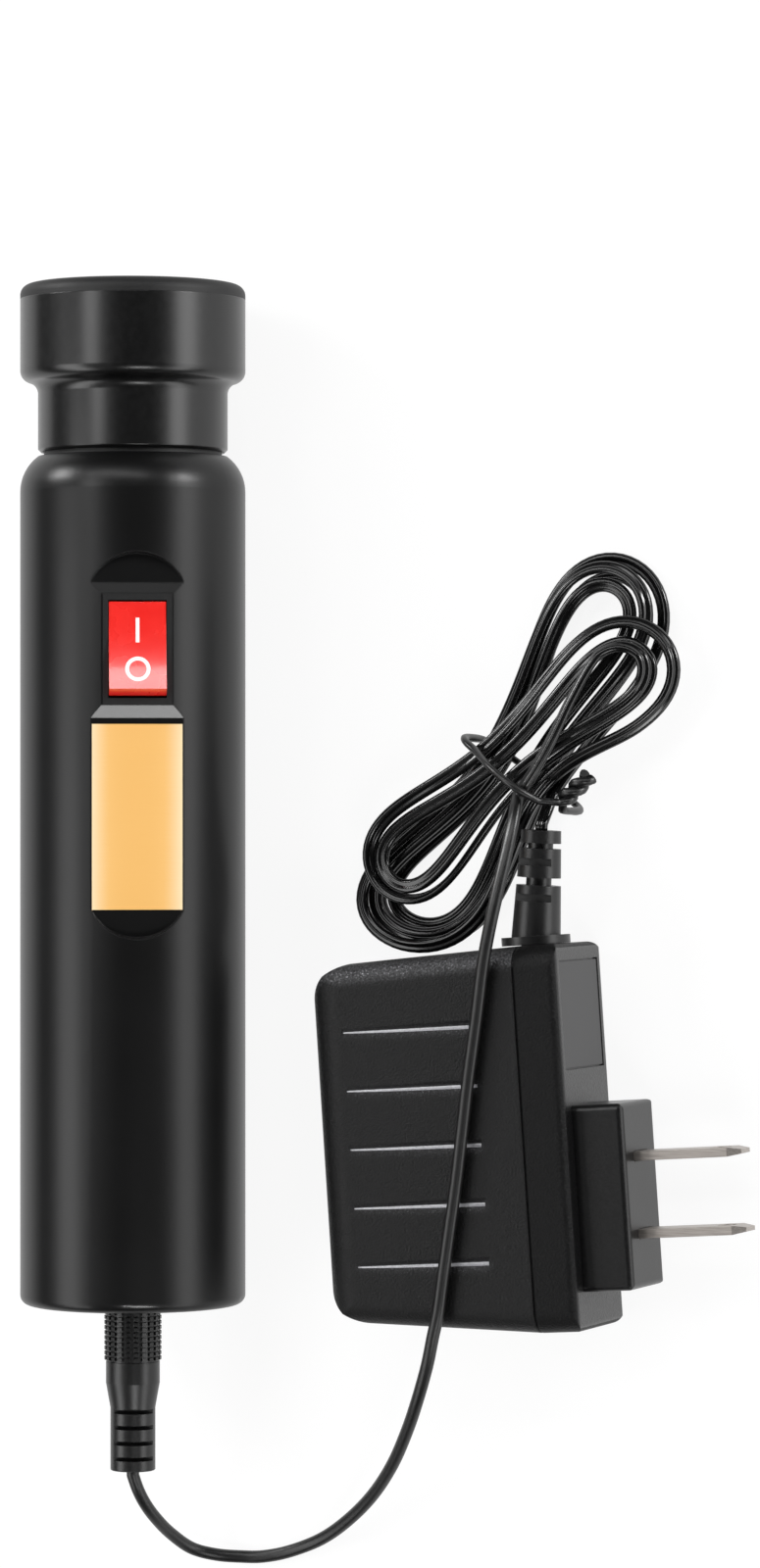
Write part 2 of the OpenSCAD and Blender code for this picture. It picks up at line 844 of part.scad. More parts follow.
// how many steps out each loop lies, by turns
spiral_shares = [[0, 2.1], [0.25, 1.7], [1, 1], [1.95, 0], [2.1, 0], [3.7, 1.6], [3.9, 1.6], [4.05, 1.5],
    [4.75, 0.95], [5.25, 0.03], [5.6, 0.05], [6.24, 0.1], [6.34, -0.4], [6.42, -1.4], [6.5, -2.7]];
// height of the lead's middle, by turns
layer_heights = [[-0.14, 11], [0.12, 1.4], [1.7, 1.4], [2.1, 4.45], [3.7, 4.45], [3.9, 7.9], [5.55, 7.9],
    [5.95, 11], [6.1, 11], [6.5, 13.9]];
// the second bunch of loops turns, shortens and shifts against the first
bunch_from = 3.86;
bunch_to = 4.13;
bunch_angles = [59, 41];
bunch_shares = [1, 0.88];
bunch_along = [2.2, 2.2];
bunch_aside = [0, 0.4];
bend_high_shares = [0.0004, -0.001];
bend_low_shares = [0.0055, 0.0012];

function ease(s) = s <= 0 ? 0 : s >= 1 ? 1 : s * s * (3 - 2 * s);
function eased(t, ks, i = 0) = t <= ks[i + 1][0] || i == len(ks) - 2
    ? ks[i][1] + (ks[i + 1][1] - ks[i][1]) * ease((t - ks[i][0]) / (ks[i + 1][0] - ks[i][0]))
    : eased(t, ks, i + 1);
function bunch(t, pair) = pair[0] + (pair[1] - pair[0]) * ease((t - bunch_from) / (bunch_to - bunch_from));
function on_loop(t) =
    let (f = 360 * (t - 0.25), half = fold_half * bunch(t, bunch_shares),
        swell = bunch(t, cos(f) > 0 ? high_swells : low_swells),
        wide = waist_half + swell * pow(cos(f), 2),
        da = -half * sin(f), db = cos(f) * wide - 2 * swell * pow(sin(f), 2) * cos(f),
        out = hank_step * lookup(t, spiral_shares) / norm([da, db]),
        a = half * cos(f) + db * out + bunch(t, bunch_along),
        bend = a > 0 ? bunch(t, bend_high_shares) : bunch(t, bend_low_shares),
        b = sin(f) * wide - da * out + bunch(t, bunch_aside) + bend * a * a,
        g = bunch(t, bunch_angles))
    [hank_x + a * cos(g) - b * sin(g), hank_y + a * sin(g) + b * cos(g),
        eased(t, layer_heights) - hank_drop + waist_lift * pow(sin(f), 2)];
hank_line = [for (i = [0:hank_loops * rings_per_loop]) on_loop(i / rings_per_loop)];
hank_in = unit(hank_line[1] - hank_line[0]);
hank_last = hank_line[len(hank_line) - 1];
hank_out = unit(hank_last - hank_line[len(hank_line) - 2]);

// least distance between stretches of the hank more than a fold apart
apart = rings_per_loop / 4;
least_gap = min([for (i = [0:len(hank_line) - 1 - apart])
    min([for (k = [i + apart:len(hank_line) - 1]) norm(hank_line[i] - hank_line[k])])]) - lead_d;
echo(least_gap_of_the_hank_to_itself = least_gap);

module lead_hank() {
    color(black) in_supply()
        tube(hank_line, lead_d, hank_sides);
}

// free stretch, from the plug down to the table and over the adapter to the hank
table_gap = 0.1;
over_gap = 0.2;
plug_back = [0, plug_end, barrel_r];
table_z = lead_d / 2 + table_gap;
over_z = adapter_thick + lead_d / 2 + over_gap;
// route of the free stretch: steps from the plug's end, points on the table, then points over the adapter
plug_steps = [[0.5, -3.4, -0.9], [1.05, -6, -2.6], [1.7, -8.7, -5.3], [2.6, -11.7, -9.2],
    [4.6, -14.7, -13.4]];
table_points = [[8, -44.1, 1.8], [12.2, -44.4, 0.4], [16.2, -44.2, 0], [21.2, -43, 0.1],
    [27.5, -40.4, 1.1], [33.5, -36.5, 3.4], [39.3, -31.6, 6.6]];
over_points = [[44.6, -25.8, -11.3], [49, -19.5, -7.1], [52.3, -13.8, -3.7], [54.9, -8, -1.4],
    [56.4, -3.1, -0.3], [57.5, 1.2, 0], [58.4, 7.4, 0], [59.5, 14.7, 0], [60.7, 22.8, 0], [61.8, 31.6, 0],
    [62.8, 39.7, 0], [64.2, 49.3, 0], [65.4, 58.1, 0.1], [66.5, 64.4, -0.2], [67.5, 70.4, -1.3],
    [68.3, 76.2, -3], [68.7, 81.6, -5]];
route = concat([for (p = plug_steps) plug_back + p], [for (p = table_points) p + [0, 0, table_z]],
    [for (p = over_points) p + [0, 0, over_z]]);
lead_line = straight_ends(plug_back, [0, -1, 0], route, hank_last, hank_out);

module lead_free() {
    color(black) in_supply()
        tube(lead_line, lead_d, lead_sides);
}

// adapter: a drafted case and a front cover, leaning a little on the table
adapter_x = 70;
adapter_y = 60.5;
adapter_lean = 4;
boot_lean = -7;
case_top = 0.7;
case_low = case_top - adapter_height;
mid_z = adapter_thick / 2;

module in_adapter() {
    in_supply()
        translate([adapter_x, adapter_y, 0])
            rotate([0, 0, adapter_lean])
                children();
}

// rounded rectangle from one corner to another
module soft_square(low, high, r) {
    translate([low[0] + r, low[1]])
        square([high[0] - low[0] - 2 * r, high[1] - low[1]]);
    translate([low[0], low[1] + r])
        square([high[0] - low[0], high[1] - low[1] - 2 * r]);
    for (x = [low[0] + r, high[0] - r], y = [low[1] + r, high[1] - r])
        translate([x, y])
            circle(r = r, $fn = small_fn);
}

// the case seen along the blades: height by thickness
module case_end(inset, r) {
    soft_square([case_low + inset, inset], [case_top - inset, adapter_thick - inset], r);
}

// the rear case seen from its broad side: drafted top and bottom, two round corners at the back
top_angle = atan(top_draft / rear_depth);
low_angle = atan(bottom_draft / rear_depth);

module rear_outline(inset) {
    r = rear_r - inset;
    top = case_top - inset;
    low = case_low + inset;
    corner_x = rear_r - rear_depth;
    corner_top = top + corner_x * tan(top_angle) - r / cos(top_angle);
    corner_low = low - corner_x * tan(low_angle) + r / cos(low_angle);
    polygon([[0, low], [0, top], [corner_x - r * sin(top_angle), corner_top + r * cos(top_angle)],
        [corner_x, corner_top], [corner_x, corner_low],
        [corner_x - r * sin(low_angle), corner_low - r * cos(low_angle)]]);
    translate([corner_x - r, corner_low])
        square([r, corner_top - corner_low]);
    for (y = [corner_top, corner_low])
        translate([corner_x, y])
            circle(r = r, $fn = round_fn);
}

module along_blades(low, high) {
    translate([low, 0, 0])
        rotate([90, 0, 90])
            linear_extrude(high - low)
                children();
}

// the rear case's round long edges, along its drafted top or bottom
module long_edges(turn, at, low, high) {
    translate([0, at, 0])
        rotate([0, 0, turn])
            along_blades(-2 * rear_depth, rear_depth)
                soft_square([low, 0], [high, adapter_thick], edge_r);
}

// the rear case seen from its top: round back edges
module back_plan(inset) {
    rotate([-90, 0, 0])
        translate([0, -adapter_thick, case_low])
            linear_extrude(adapter_height)
                soft_square([inset - rear_depth, inset], [rear_depth, adapter_thick - inset],
                    back_r - inset);
}

// half-round grooves on both broad sides, fading out towards the back
module grooves() {
    first = -11.7;
    near = -7.6;
    end_depth = 0.15;
    groove_r = groove_width / 2;
    fade = atan((groove_depth - end_depth) / groove_length);
    for (i = [0:groove_count - 1], side = [0, 1])
        translate([near, first - i * groove_step, side * adapter_thick])
            mirror([0, 0, 1 - side])
                translate([0, 0, groove_r - groove_depth])
                    rotate([0, fade - 90, 0])
                        cylinder(r = groove_r, h = groove_length, $fn = small_fn);
}

// the fine joint line round the case, where the front cover meets it
module seam() {
    seam_width = 0.4;
    seam_depth = 0.4;
    along_blades(-seam_width, over)
        difference() {
            translate([case_low - over, -over])
                square([adapter_height + 2 * over, adapter_thick + 2 * over]);
            case_end(seam_depth, edge_r - seam_depth);
        }
}

module rear_case() {
    color(black) in_adapter() difference() {
        intersection() {
            translate([0, 0, -over])
                linear_extrude(adapter_thick + 2 * over)
                    rear_outline(-fit);
            long_edges(top_angle, case_top, -2 * adapter_height, 0);
            long_edges(-low_angle, case_low, 0, 2 * adapter_height);
            back_plan(0);
        }
        intersection() {
            along_blades(-rear_depth, over)
                case_end(case_wall, edge_r / 2);
            linear_extrude(adapter_thick)
                translate([over, 0])
                    rear_outline(case_wall);
            back_plan(case_wall);
        }
        seam();
        grooves();
        boot_room();
    }
}

module boot_room() {
    translate([0, case_top - case_wall - over, mid_z])
        rotate([-90, 0, 0])
            cylinder(d = boot_neck_d + 2 * fit, h = case_wall + 2 * over, $fn = small_fn);
}

boot_neck_d = 5;
boot_flange_d = 11.4;
boot_flange = 1.4;
panel_depth = 0.4;
panel_low = -20;
panel_high = -2;
panel_in = 2.2;
block_mid = -41.1;
block_root = 3;

module front_cover() {
    window_in = 1.4;
    color(black) in_adapter() difference() {
        intersection() {
            along_blades(0, cover_depth)
                case_end(0, edge_r);
            linear_extrude(adapter_thick)
                soft_square([-cover_depth, case_low], [cover_depth, case_top], cover_r);
            rotate([-90, 0, 0])
                translate([0, -adapter_thick, case_low])
                    linear_extrude(adapter_height)
                        soft_square([-cover_depth, 0], [cover_depth, adapter_thick], cover_r);
        }
        along_blades(-over, cover_depth - case_wall)
            case_end(case_wall, edge_r / 2);
        translate([cover_depth - panel_depth, panel_low, panel_in])
            cube([over, panel_high - panel_low, adapter_thick - 2 * panel_in]);
        translate([cover_depth - case_wall - over, block_mid - block_height / 2 + window_in,
            mid_z - block_width / 2 + window_in])
            cube([case_wall + 2 * over, block_height - 2 * window_in, block_width - 2 * window_in]);
        boot_room();
    }
}

module prong_block() {
    block_r = 1;
    key_in = 1.5;
    blade_ys = [block_mid + blade_pitch / 2, block_mid - blade_pitch / 2];
    color(black) in_adapter() difference() {
        union() {
            intersection() {
                along_blades(cover_depth, cover_depth + block_depth)
                    soft_square([block_mid - block_height / 2, mid_z - block_width / 2],
                        [block_mid + block_height / 2, mid_z + block_width / 2], block_r);
                linear_extrude(adapter_thick)
                    soft_square([-cover_depth, block_mid - block_height / 2],
                        [cover_depth + block_depth, block_mid + block_height / 2], block_r);
                rotate([-90, 0, 0])
                    translate([0, -mid_z - block_width / 2, block_mid - block_height / 2])
                        linear_extrude(block_height)
                            soft_square([-cover_depth, 0], [cover_depth + block_depth, block_width],
                                block_r);
            }
            translate([cover_depth - block_root, block_mid - block_height / 2 + key_in,
                mid_z - block_width / 2 + key_in])
                cube([block_root + over, block_height - 2 * key_in, block_width - 2 * key_in]);
        }
        for (y = blade_ys)
            translate([cover_depth - block_root - over, y - blade_thick / 2 - fit,
                mid_z - blade_width / 2 - fit])
                cube([block_root + block_depth + 2 * over, blade_thick + 2 * fit, blade_width + 2 * fit]);
    }
}

blade_tail = 5;
blade_foot = cover_depth - block_root - blade_tail;
blade_tip = cover_depth + block_depth + blade_length;

// a blade's outline, from its half width, narrowing over a length to its half width at the tip
module blade_plan(half, cut, tip_half) {
    polygon([[blade_foot, -half], [blade_tip - cut, -half], [blade_tip, -tip_half], [blade_tip, tip_half],
        [blade_tip - cut, half], [blade_foot, half]]);
}

module blades() {
    hole_back = 4;
    tip_cut = 2.2;
    tip_thin = 0.4;
    color(steel) in_adapter() for (side = [-1, 1])
        translate([0, block_mid + side * blade_pitch / 2, mid_z])
            difference() {
                intersection() {
                    translate([0, blade_thick / 2, 0])
                        rotate([90, 0, 0])
                            linear_extrude(blade_thick)
                                blade_plan(blade_width / 2, tip_cut, blade_width / 2 - tip_cut / 2);
                    translate([0, 0, -blade_width / 2])
                        linear_extrude(blade_width)
                            blade_plan(blade_thick / 2, tip_cut, blade_thick / 2 - tip_thin);
                }
                translate([blade_tip - hole_back, 0, 0])
                    rotate([90, 0, 0])
                        cylinder(d = blade_hole_d, h = 2 * blade_thick, center = true, $fn = small_fn);
            }
}

board_x = -8;
mains_thick = 1.6;
board_clear = 1;

// spring clips that carry the blades' current to the circuit board
module blade_springs() {
    clip_thick = 0.4;
    clip_width = 4;
    color(brass) in_adapter() for (side = [-1, 1])
        translate([0, block_mid + side * (blade_pitch / 2 + blade_thick / 2), mid_z - clip_width / 2])
            mirror([0, side > 0 ? 0 : 1, 0])
                translate([board_x + mains_thick, 0, 0])
                    cube([blade_foot + blade_tail - board_x - mains_thick, clip_thick, clip_width]);
}

module adapter_board() {
    low = case_low + case_wall + board_clear;
    high = case_top - case_wall - board_clear - top_draft;
    edge = case_wall + board_clear;
    color(green) in_adapter()
        translate([board_x, low, edge])
            cube([mains_thick, high - low, adapter_thick - 2 * edge]);
}

module transformer() {
    core = [14, 16, 13];
    coil_d = 11;
    coil_over = 1.5;
    low = -48;
    color(yellow) in_adapter()
        translate([board_x - core[0], low, mid_z - core[2] / 2])
            union() {
                cube(core);
                translate([core[0] / 2, -coil_over, core[2] / 2])
                    rotate([-90, 0, 0])
                        cylinder(d = coil_d, h = core[1] + 2 * coil_over, $fn = small_fn);
            }
}

module capacitors() {
    can_d = [9, 7];
    can_length = [16, 12];
    can_y = [-20, -9.5];
    color(steel) in_adapter() for (i = [0, 1])
        translate([board_x - can_length[i], can_y[i], mid_z])
            rotate([0, 90, 0])
                cylinder(d = can_d[i], h = can_length[i], $fn = small_fn);
}

// slotted bend relief where the lead leaves the adapter
boot_foot = case_top + fit;

module in_boot() {
    in_adapter()
        translate([0, boot_foot + boot_flange / 2, mid_z])
            rotate([0, 0, boot_lean])
                rotate([-90, 0, 0])
                    children();
}

module adapter_boot() {
    slot = 1.2;
    neck_shares = [0.5, 0.835];
    neck_widths = [1.3, 0.9];
    slot_shares = [0.355, 0.68];
    core_wall = 1.05;
    core_d = lead_d + 2 * core_wall;
    color(soft_black) union() {
        in_adapter()
            translate([0, case_top - case_wall - over / 2, mid_z])
                rotate([-90, 0, 0])
                    cylinder(d = boot_neck_d, h = case_wall + over, $fn = small_fn);
        in_adapter()
            translate([0, boot_foot, mid_z])
                rotate([-90, 0, 0])
                    cylinder(d = boot_flange_d, h = boot_flange, $fn = round_fn);
        in_boot() difference() {
            cylinder(d1 = boot_d, d2 = boot_tip_d, h = boot_length, $fn = round_fn);
            for (i = [0:len(neck_shares) - 1])
                translate([0, 0, neck_shares[i] * boot_length])
                    ring(boot_d, core_d / 2, 0, neck_widths[i]);
            for (share = slot_shares, side = [-1, 1])
                translate([0, side * boot_d, share * boot_length + slot / 2])
                    cube([2 * boot_d, 2 * boot_d - core_d, slot], center = true);
        }
    }
}

// short stretch from the bend relief into the hank
tail_turn = adapter_lean + boot_lean;
tail_way = [-sin(tail_turn), cos(tail_turn), 0];
boot_up = boot_foot + boot_flange / 2;
tail_start = [adapter_x - boot_up * sin(adapter_lean), adapter_y + boot_up * cos(adapter_lean), mid_z]
    + boot_length * tail_way;
tail_line = straight_ends(tail_start, tail_way, [], hank_line[0], -hank_in);

module lead_tail() {
    color(black) in_supply()
        tube(tail_line, lead_d, lead_sides);
}

// tie: once round the hank's waist, its two ends twisted together
tie_angle = 56;
tie_along = 1.2;
tie_sides = 6;
tie_steps = 2;
twist_turns = 1.5;
twist_gap = 0.25;
twist_r = tie_d / 2 + twist_gap;
twist_rings = 14;
// start and end of the twist: sideways, height and along the hank
twist_from = [-12, 13.4, 1.4];
twist_to = [-13.4, 12.6, 8.6];
twist_phases = [80, -100];
// sideways and height of the tie's middle, round the waist
tie_round = [[-9.4, 15.6], [-7.4, 17.2], [-5.2, 18.1], [-2.6, 18], [0.6, 16.8], [3.4, 14.6], [5.8, 12.9],
    [8, 11.8], [9.3, 9.6], [9.3, 5.4], [8.9, 2.4], [7.2, 0.95], [3.6, 0.75], [-0.6, 0.75], [-5, 0.75],
    [-9.4, 0.9], [-11.7, 2], [-12.4, 4.6], [-12.4, 8], [-12.2, 11]];
function in_tie(b, z, along) = [hank_x + (tie_along + along) * cos(tie_angle) - b * sin(tie_angle),
    hank_y + (tie_along + along) * sin(tie_angle) + b * cos(tie_angle), z];
function twist_point(s, phase) =
    let (mid = twist_from + s * (twist_to - twist_from), a = 360 * twist_turns * s + phase)
    in_tie(mid[0] + twist_r * cos(a), mid[1] + twist_r * sin(a), mid[2]);
tie_line = concat([for (i = [0:twist_rings]) twist_point(1 - i / twist_rings, twist_phases[0])],
    smooth_line([for (p = tie_round) in_tie(p[0], p[1], 0)], tie_steps),
    [for (i = [0:twist_rings]) twist_point(i / twist_rings, twist_phases[1])]);

// least distance from the tie to the hank and to the free stretch
function off_line(p, a, b) =
    norm(p - a - max(0, min(1, (p - a) * (b - a) / ((b - a) * (b - a)))) * (b - a));
function off_lead(p, line) = min([for (i = [0:len(line) - 2]) off_line(p, line[i], line[i + 1])]);
function gap_along(t, line) = min([for (p = t) off_lead(p, line)]) - (tie_d + lead_d) / 2;
echo(least_gap_of_the_tie_to_the_hank = gap_along(tie_line, hank_line));
echo(least_gap_of_the_tie_to_the_lead = gap_along(tie_line, lead_line));
echo(least_gap_of_the_tie_to_the_tail = gap_along(tie_line, tail_line));

module hank_tie() {
    color(soft_black) in_supply()
        tube(tie_line, tie_d, tie_sides, [cos(tie_angle), sin(tie_angle), 0]);
}

barrel();
label_plate();
end_cap();
head_collar();
neck_gasket();
egg_seat();
window();
reflector();
led_board();
led_emitter();
board_screws();
heat_sink();
jack_body();
jack_nut();
jack_pin();
jack_spring();
switch_housing();
switch_terminals();
contact_lever();
rocker();
wire_jack_switch();
wire_switch_led();
wire_led_jack();
plug_sleeve();
plug_insulator();
plug_grip();
lead_free();
lead_hank();
lead_tail();
hank_tie();
adapter_boot();
rear_case();
front_cover();
prong_block();
blades();
blade_springs();
adapter_board();
transformer();
capacitors();
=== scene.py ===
# %% [markdown]
# A candling lamp lies on a white table beside its plug-in supply. The solids come from the packed
# CAD model, so this lesson only dresses them: it frames the camera, lays the soft lead, adds the
# small printed and moulded details, and gives every surface its finish. Lengths are written in
# millimetres, as on a drawing, and MM turns them into Blender's metres.

import math

import bmesh
import bpy
from mathutils import Matrix, Vector


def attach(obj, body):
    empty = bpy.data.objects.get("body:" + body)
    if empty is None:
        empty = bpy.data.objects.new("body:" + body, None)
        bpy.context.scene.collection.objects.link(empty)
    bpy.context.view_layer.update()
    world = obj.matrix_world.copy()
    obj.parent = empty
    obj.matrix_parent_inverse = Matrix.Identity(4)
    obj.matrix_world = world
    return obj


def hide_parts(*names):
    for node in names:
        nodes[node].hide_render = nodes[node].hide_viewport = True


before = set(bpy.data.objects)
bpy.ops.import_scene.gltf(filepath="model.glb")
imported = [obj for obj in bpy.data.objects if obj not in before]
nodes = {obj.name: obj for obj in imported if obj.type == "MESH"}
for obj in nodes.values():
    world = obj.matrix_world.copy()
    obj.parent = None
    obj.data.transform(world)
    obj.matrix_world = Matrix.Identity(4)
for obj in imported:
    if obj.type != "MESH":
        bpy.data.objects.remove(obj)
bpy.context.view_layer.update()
MM = 0.001

# %% [markdown]
# The photograph looks down on the table, leaning a little to the right of straight down, so the
# adapter's front shows beside its broad side. A constraint could aim the camera, but three plain
# directions do it too, and the lights need them later: right, up along the barrel, and back towards
# the lens.

# %% Camera
LEAN = math.radians(23)
RIGHT = Vector((math.cos(LEAN), 0, -math.sin(LEAN)))
UP = Vector((0, 1, 0))
BACK = Vector((math.sin(LEAN), 0, math.cos(LEAN)))
BARREL_R = 19
AIM_RIGHT, AIM_UP = 41.72, 1.75
AIM = (Vector((0, AIM_UP, BARREL_R)) + RIGHT * AIM_RIGHT) * MM
CAMERA_FAR = 0.9


def start():
    """Deselects all: an operator acts on everything selected, and the solids come selected."""
    bpy.ops.object.select_all(action="DESELECT")


start()
bpy.ops.object.camera_add()
camera = bpy.context.object
camera.name = "camera"
camera_turn = Matrix((RIGHT, UP, BACK)).transposed().to_4x4()
camera.matrix_world = Matrix.Translation(AIM + BACK * CAMERA_FAR) @ camera_turn
camera.data.sensor_fit = "VERTICAL"
camera.data.sensor_height = 36
camera.data.lens = 122.3
camera.data.clip_start = 0.01
bpy.context.scene.camera = camera
bpy.context.scene.view_settings.view_transform = "Standard"
print("camera at", [round(x, 3) for x in camera.location])

# %% [markdown]
# Much about the lead changes along it: its height, its bends, its outline. A change could be a plain
# ramp, but cable has no kinks, so most changes here are eased: they start and end gently. Small
# helpers hold those sums, and one of them finds a value between given knots.


# %% Changes along a line
def even(s):
    return min(max(s, 0), 1)


def ease(s):
    s = even(s)
    return s * s * (3 - 2 * s)


def mixed(first, second, share):
    return first + (second - first) * share


def between(t, knots, shape):
    """The value at t on a line through knots of (t, value), each stretch shaped by a function."""
    for (t0, v0), (t1, v1) in zip(knots, knots[1:]):
        if t <= t1 or (t1, v1) == knots[-1]:
            return mixed(v0, v1, shape((t - t0) / (t1 - t0)))


print("a quarter of the way eases to", ease(0.25))

# %% [markdown]
# The spare lead is a tied hank: long loops in two bunches, drawn in at a waist. A simulation could
# coil it, but would not lay the turns where the solid hank has them, so its middle line is worked out
# by that solid's formula. A value that differs between the bunches is a pair. The spiral says how
# many steps aside each turn lies, and the layers how high, both at counts of loops.

# %% The hank's line
LEAD = 2.1
BASE_Y = -86.0
HANK = (63.8, 89.2)
LOOPS, PER_LOOP = 6.5, 120
HALF_LOOP, WAIST, STEP = 33, 2.1, 2.9
PAST_TIE, SUNK, WAIST_RISE = 2.2, 0.2, 1.7
SHARES, ASIDE, ANGLES = (1, 0.88), (0, 0.4), (59, 41)
HIGH_SWELLS, LOW_SWELLS = (9.8, 9.2), (12, 9.8)
HIGH_BENDS, LOW_BENDS = (0.0004, -0.001), (0.0055, 0.0012)
CHANGE_AT, CHANGE_IN = 3.86, 0.27
SPIRAL = [(0, 2.1), (0.25, 1.7), (1, 1), (1.95, 0), (2.1, 0), (3.7, 1.6), (3.9, 1.6), (4.05, 1.5),
          (4.75, 0.95), (5.25, 0.03), (5.6, 0.05), (6.24, 0.1), (6.34, -0.4), (6.42, -1.4), (6.5, -2.7)]
LAYERS = [(-0.14, 11), (0.12, 1.4), (1.7, 1.4), (2.1, 4.45), (3.7, 4.45), (3.9, 7.9), (5.55, 7.9),
          (5.95, 11), (6.1, 11), (6.5, 13.9)]


def bunch(t, pair):
    """The pair's first value in the first bunch of loops, its second in the other."""
    return mixed(*pair, ease((t - CHANGE_AT) / CHANGE_IN))


def on_loop(t):
    """The place after t loops: on a waisted loop, then stepped aside, bent and turned."""
    f = math.radians(360 * (t - 0.25))
    c, s = math.cos(f), math.sin(f)
    half = HALF_LOOP * bunch(t, SHARES)
    swell = bunch(t, HIGH_SWELLS if c > 0 else LOW_SWELLS)
    wide = WAIST + swell * c * c
    da, db = -half * s, c * wide - 2 * swell * s * s * c
    out = STEP * between(t, SPIRAL, even) / math.hypot(da, db)
    a = half * c + db * out + PAST_TIE
    bend = bunch(t, HIGH_BENDS if a > 0 else LOW_BENDS)
    b = s * wide - da * out + bunch(t, ASIDE) + bend * a * a
    g = math.radians(bunch(t, ANGLES))
    x = HANK[0] + a * math.cos(g) - b * math.sin(g)
    y = HANK[1] + a * math.sin(g) + b * math.cos(g)
    return Vector((x, y, between(t, LAYERS, ease) - SUNK + WAIST_RISE * s * s))


hank_line = [on_loop(i / PER_LOOP) for i in range(int(LOOPS * PER_LOOP) + 1)]
print("hank", round(sum((b - a).length for a, b in zip(hank_line, hank_line[1:]))), "mm long")

# %% [markdown]
# The free stretch leaves the plug straight, droops to the table and climbs over the adapter to the
# hank. It could be drawn by hand as a curve, but points written as numbers can be checked: each
# group is measured from what it hangs on or lies on, the plug's back, the table or the adapter.

# %% Points of the free stretch
ADAPTER, ADAPTER_TURN, ADAPTER_HALF = Vector((70, 60.5, 0)), math.radians(4), 11
PLUG_BACK = Vector((0, -28.1, BARREL_R))
ON_TABLE = Vector((0, 0, LEAD / 2 + 0.1))
OVER_ADAPTER = Vector((0, 0, 2 * ADAPTER_HALF + LEAD / 2 + 0.2))
PLUG_POINTS = [(0.5, -3.4, -0.9), (1.05, -6, -2.6), (1.7, -8.7, -5.3), (2.6, -11.7, -9.2),
               (4.6, -14.7, -13.4)]
TABLE_POINTS = [(8, -44.1, 1.8), (12.2, -44.4, 0.4), (16.2, -44.2, 0), (21.2, -43, 0.1),
                (27.5, -40.4, 1.1), (33.5, -36.5, 3.4), (39.3, -31.6, 6.6)]
ADAPTER_POINTS = [(44.6, -25.8, -11.3), (49, -19.5, -7.1), (52.3, -13.8, -3.7), (54.9, -8, -1.4),
                  (56.4, -3.1, -0.3), (57.5, 1.2, 0), (58.4, 7.4, 0), (59.5, 14.7, 0),
                  (60.7, 22.8, 0), (61.8, 31.6, 0), (62.8, 39.7, 0), (64.2, 49.3, 0),
                  (65.4, 58.1, 0.1), (66.5, 64.4, -0.2), (67.5, 70.4, -1.3), (68.3, 76.2, -3),
                  (68.7, 81.6, -5)]
route = [origin + Vector(p)
         for origin, points in ((PLUG_BACK, PLUG_POINTS), (ON_TABLE, TABLE_POINTS),
                                (OVER_ADAPTER, ADAPTER_POINTS))
         for p in points]
print(len(route), "points on the free stretch")

# %% [markdown]
# Points alone would give a cable with corners. A Bezier curve needs handles, which are hard to guess,
# so the line here passes through every point and takes its direction from the points beside it. At
# both ends it runs straight for a little, as cable does where it leaves a moulding.

# %% A smooth line
STRAIGHT, SMOOTH_STEPS = 0.9, 6


def smooth_line(points, steps):
    """A curve through all the points, in so many steps from each to the next."""
    line = []
    for i in range(len(points) - 1):
        a, b, c, d = points[max(i - 1, 0)], points[i], points[i + 1], points[min(i + 2, len(points) - 1)]
        for k in range(steps):
            s = k / steps
            bend = 2 * a - 5 * b + 4 * c - d + s * (3 * (b - c) + d - a)
            line.append(b + 0.5 * s * ((c - a) + s * bend))
    return line + [points[-1]]


def straight_ends(first, way, points, last, back):
    """A smooth line that leaves its first point and comes to its last along a short straight."""
    middle = [first + STRAIGHT * way] + points + [last + STRAIGHT * back]
    out, home = first + 0.5 * STRAIGHT * way, last + 0.5 * STRAIGHT * back
    return [first, out] + smooth_line(middle, SMOOTH_STEPS) + [home, last]


hank_out = (hank_line[-1] - hank_line[-2]).normalized()
free_line = straight_ends(PLUG_BACK, -UP, route, hank_line[-1], hank_out)
print("free stretch in", len(free_line), "rings")

# %% [markdown]
# The tail is the short piece from the hank into the boot on the adapter. Three tubes would show a
# seam wherever two of them meet, so the free stretch, the hank and the tail become one line before
# any mesh is made.

# %% The whole line
BOOT_FOOT, BOOT_LENGTH, BOOT_LEAN = 1.45, 18.2, math.radians(7)


def turned_up(turn):
    """The direction up along the barrel, turned to the left on the table."""
    return Vector((-math.sin(turn), math.cos(turn), 0))


hank_in = (hank_line[1] - hank_line[0]).normalized()
tail_way = turned_up(ADAPTER_TURN - BOOT_LEAN)
boot_foot = ADAPTER + Vector((0, 0, ADAPTER_HALF)) + BOOT_FOOT * turned_up(ADAPTER_TURN)
tail_line = straight_ends(boot_foot + BOOT_LENGTH * tail_way, tail_way, [], hank_line[0], -hank_in)
lead_line = free_line[:-1] + hank_line[::-1][:-1] + tail_line[::-1]
lead_line = [(p + Vector((0, BASE_Y, 0))) * MM for p in lead_line]
lead_length = sum((b - a).length for a, b in zip(lead_line, lead_line[1:]))
print("lead", round(lead_length, 3), "m long in", len(lead_line), "rings")

# %% [markdown]
# Cable is pressed through a die, so one outline runs along its whole length. A ring of that outline
# is set square to the line at each point, turned by a slowly changing roll, and the rings are bridged
# into one closed tube. A curve with a bevel could do it too, but not with an outline that changes.


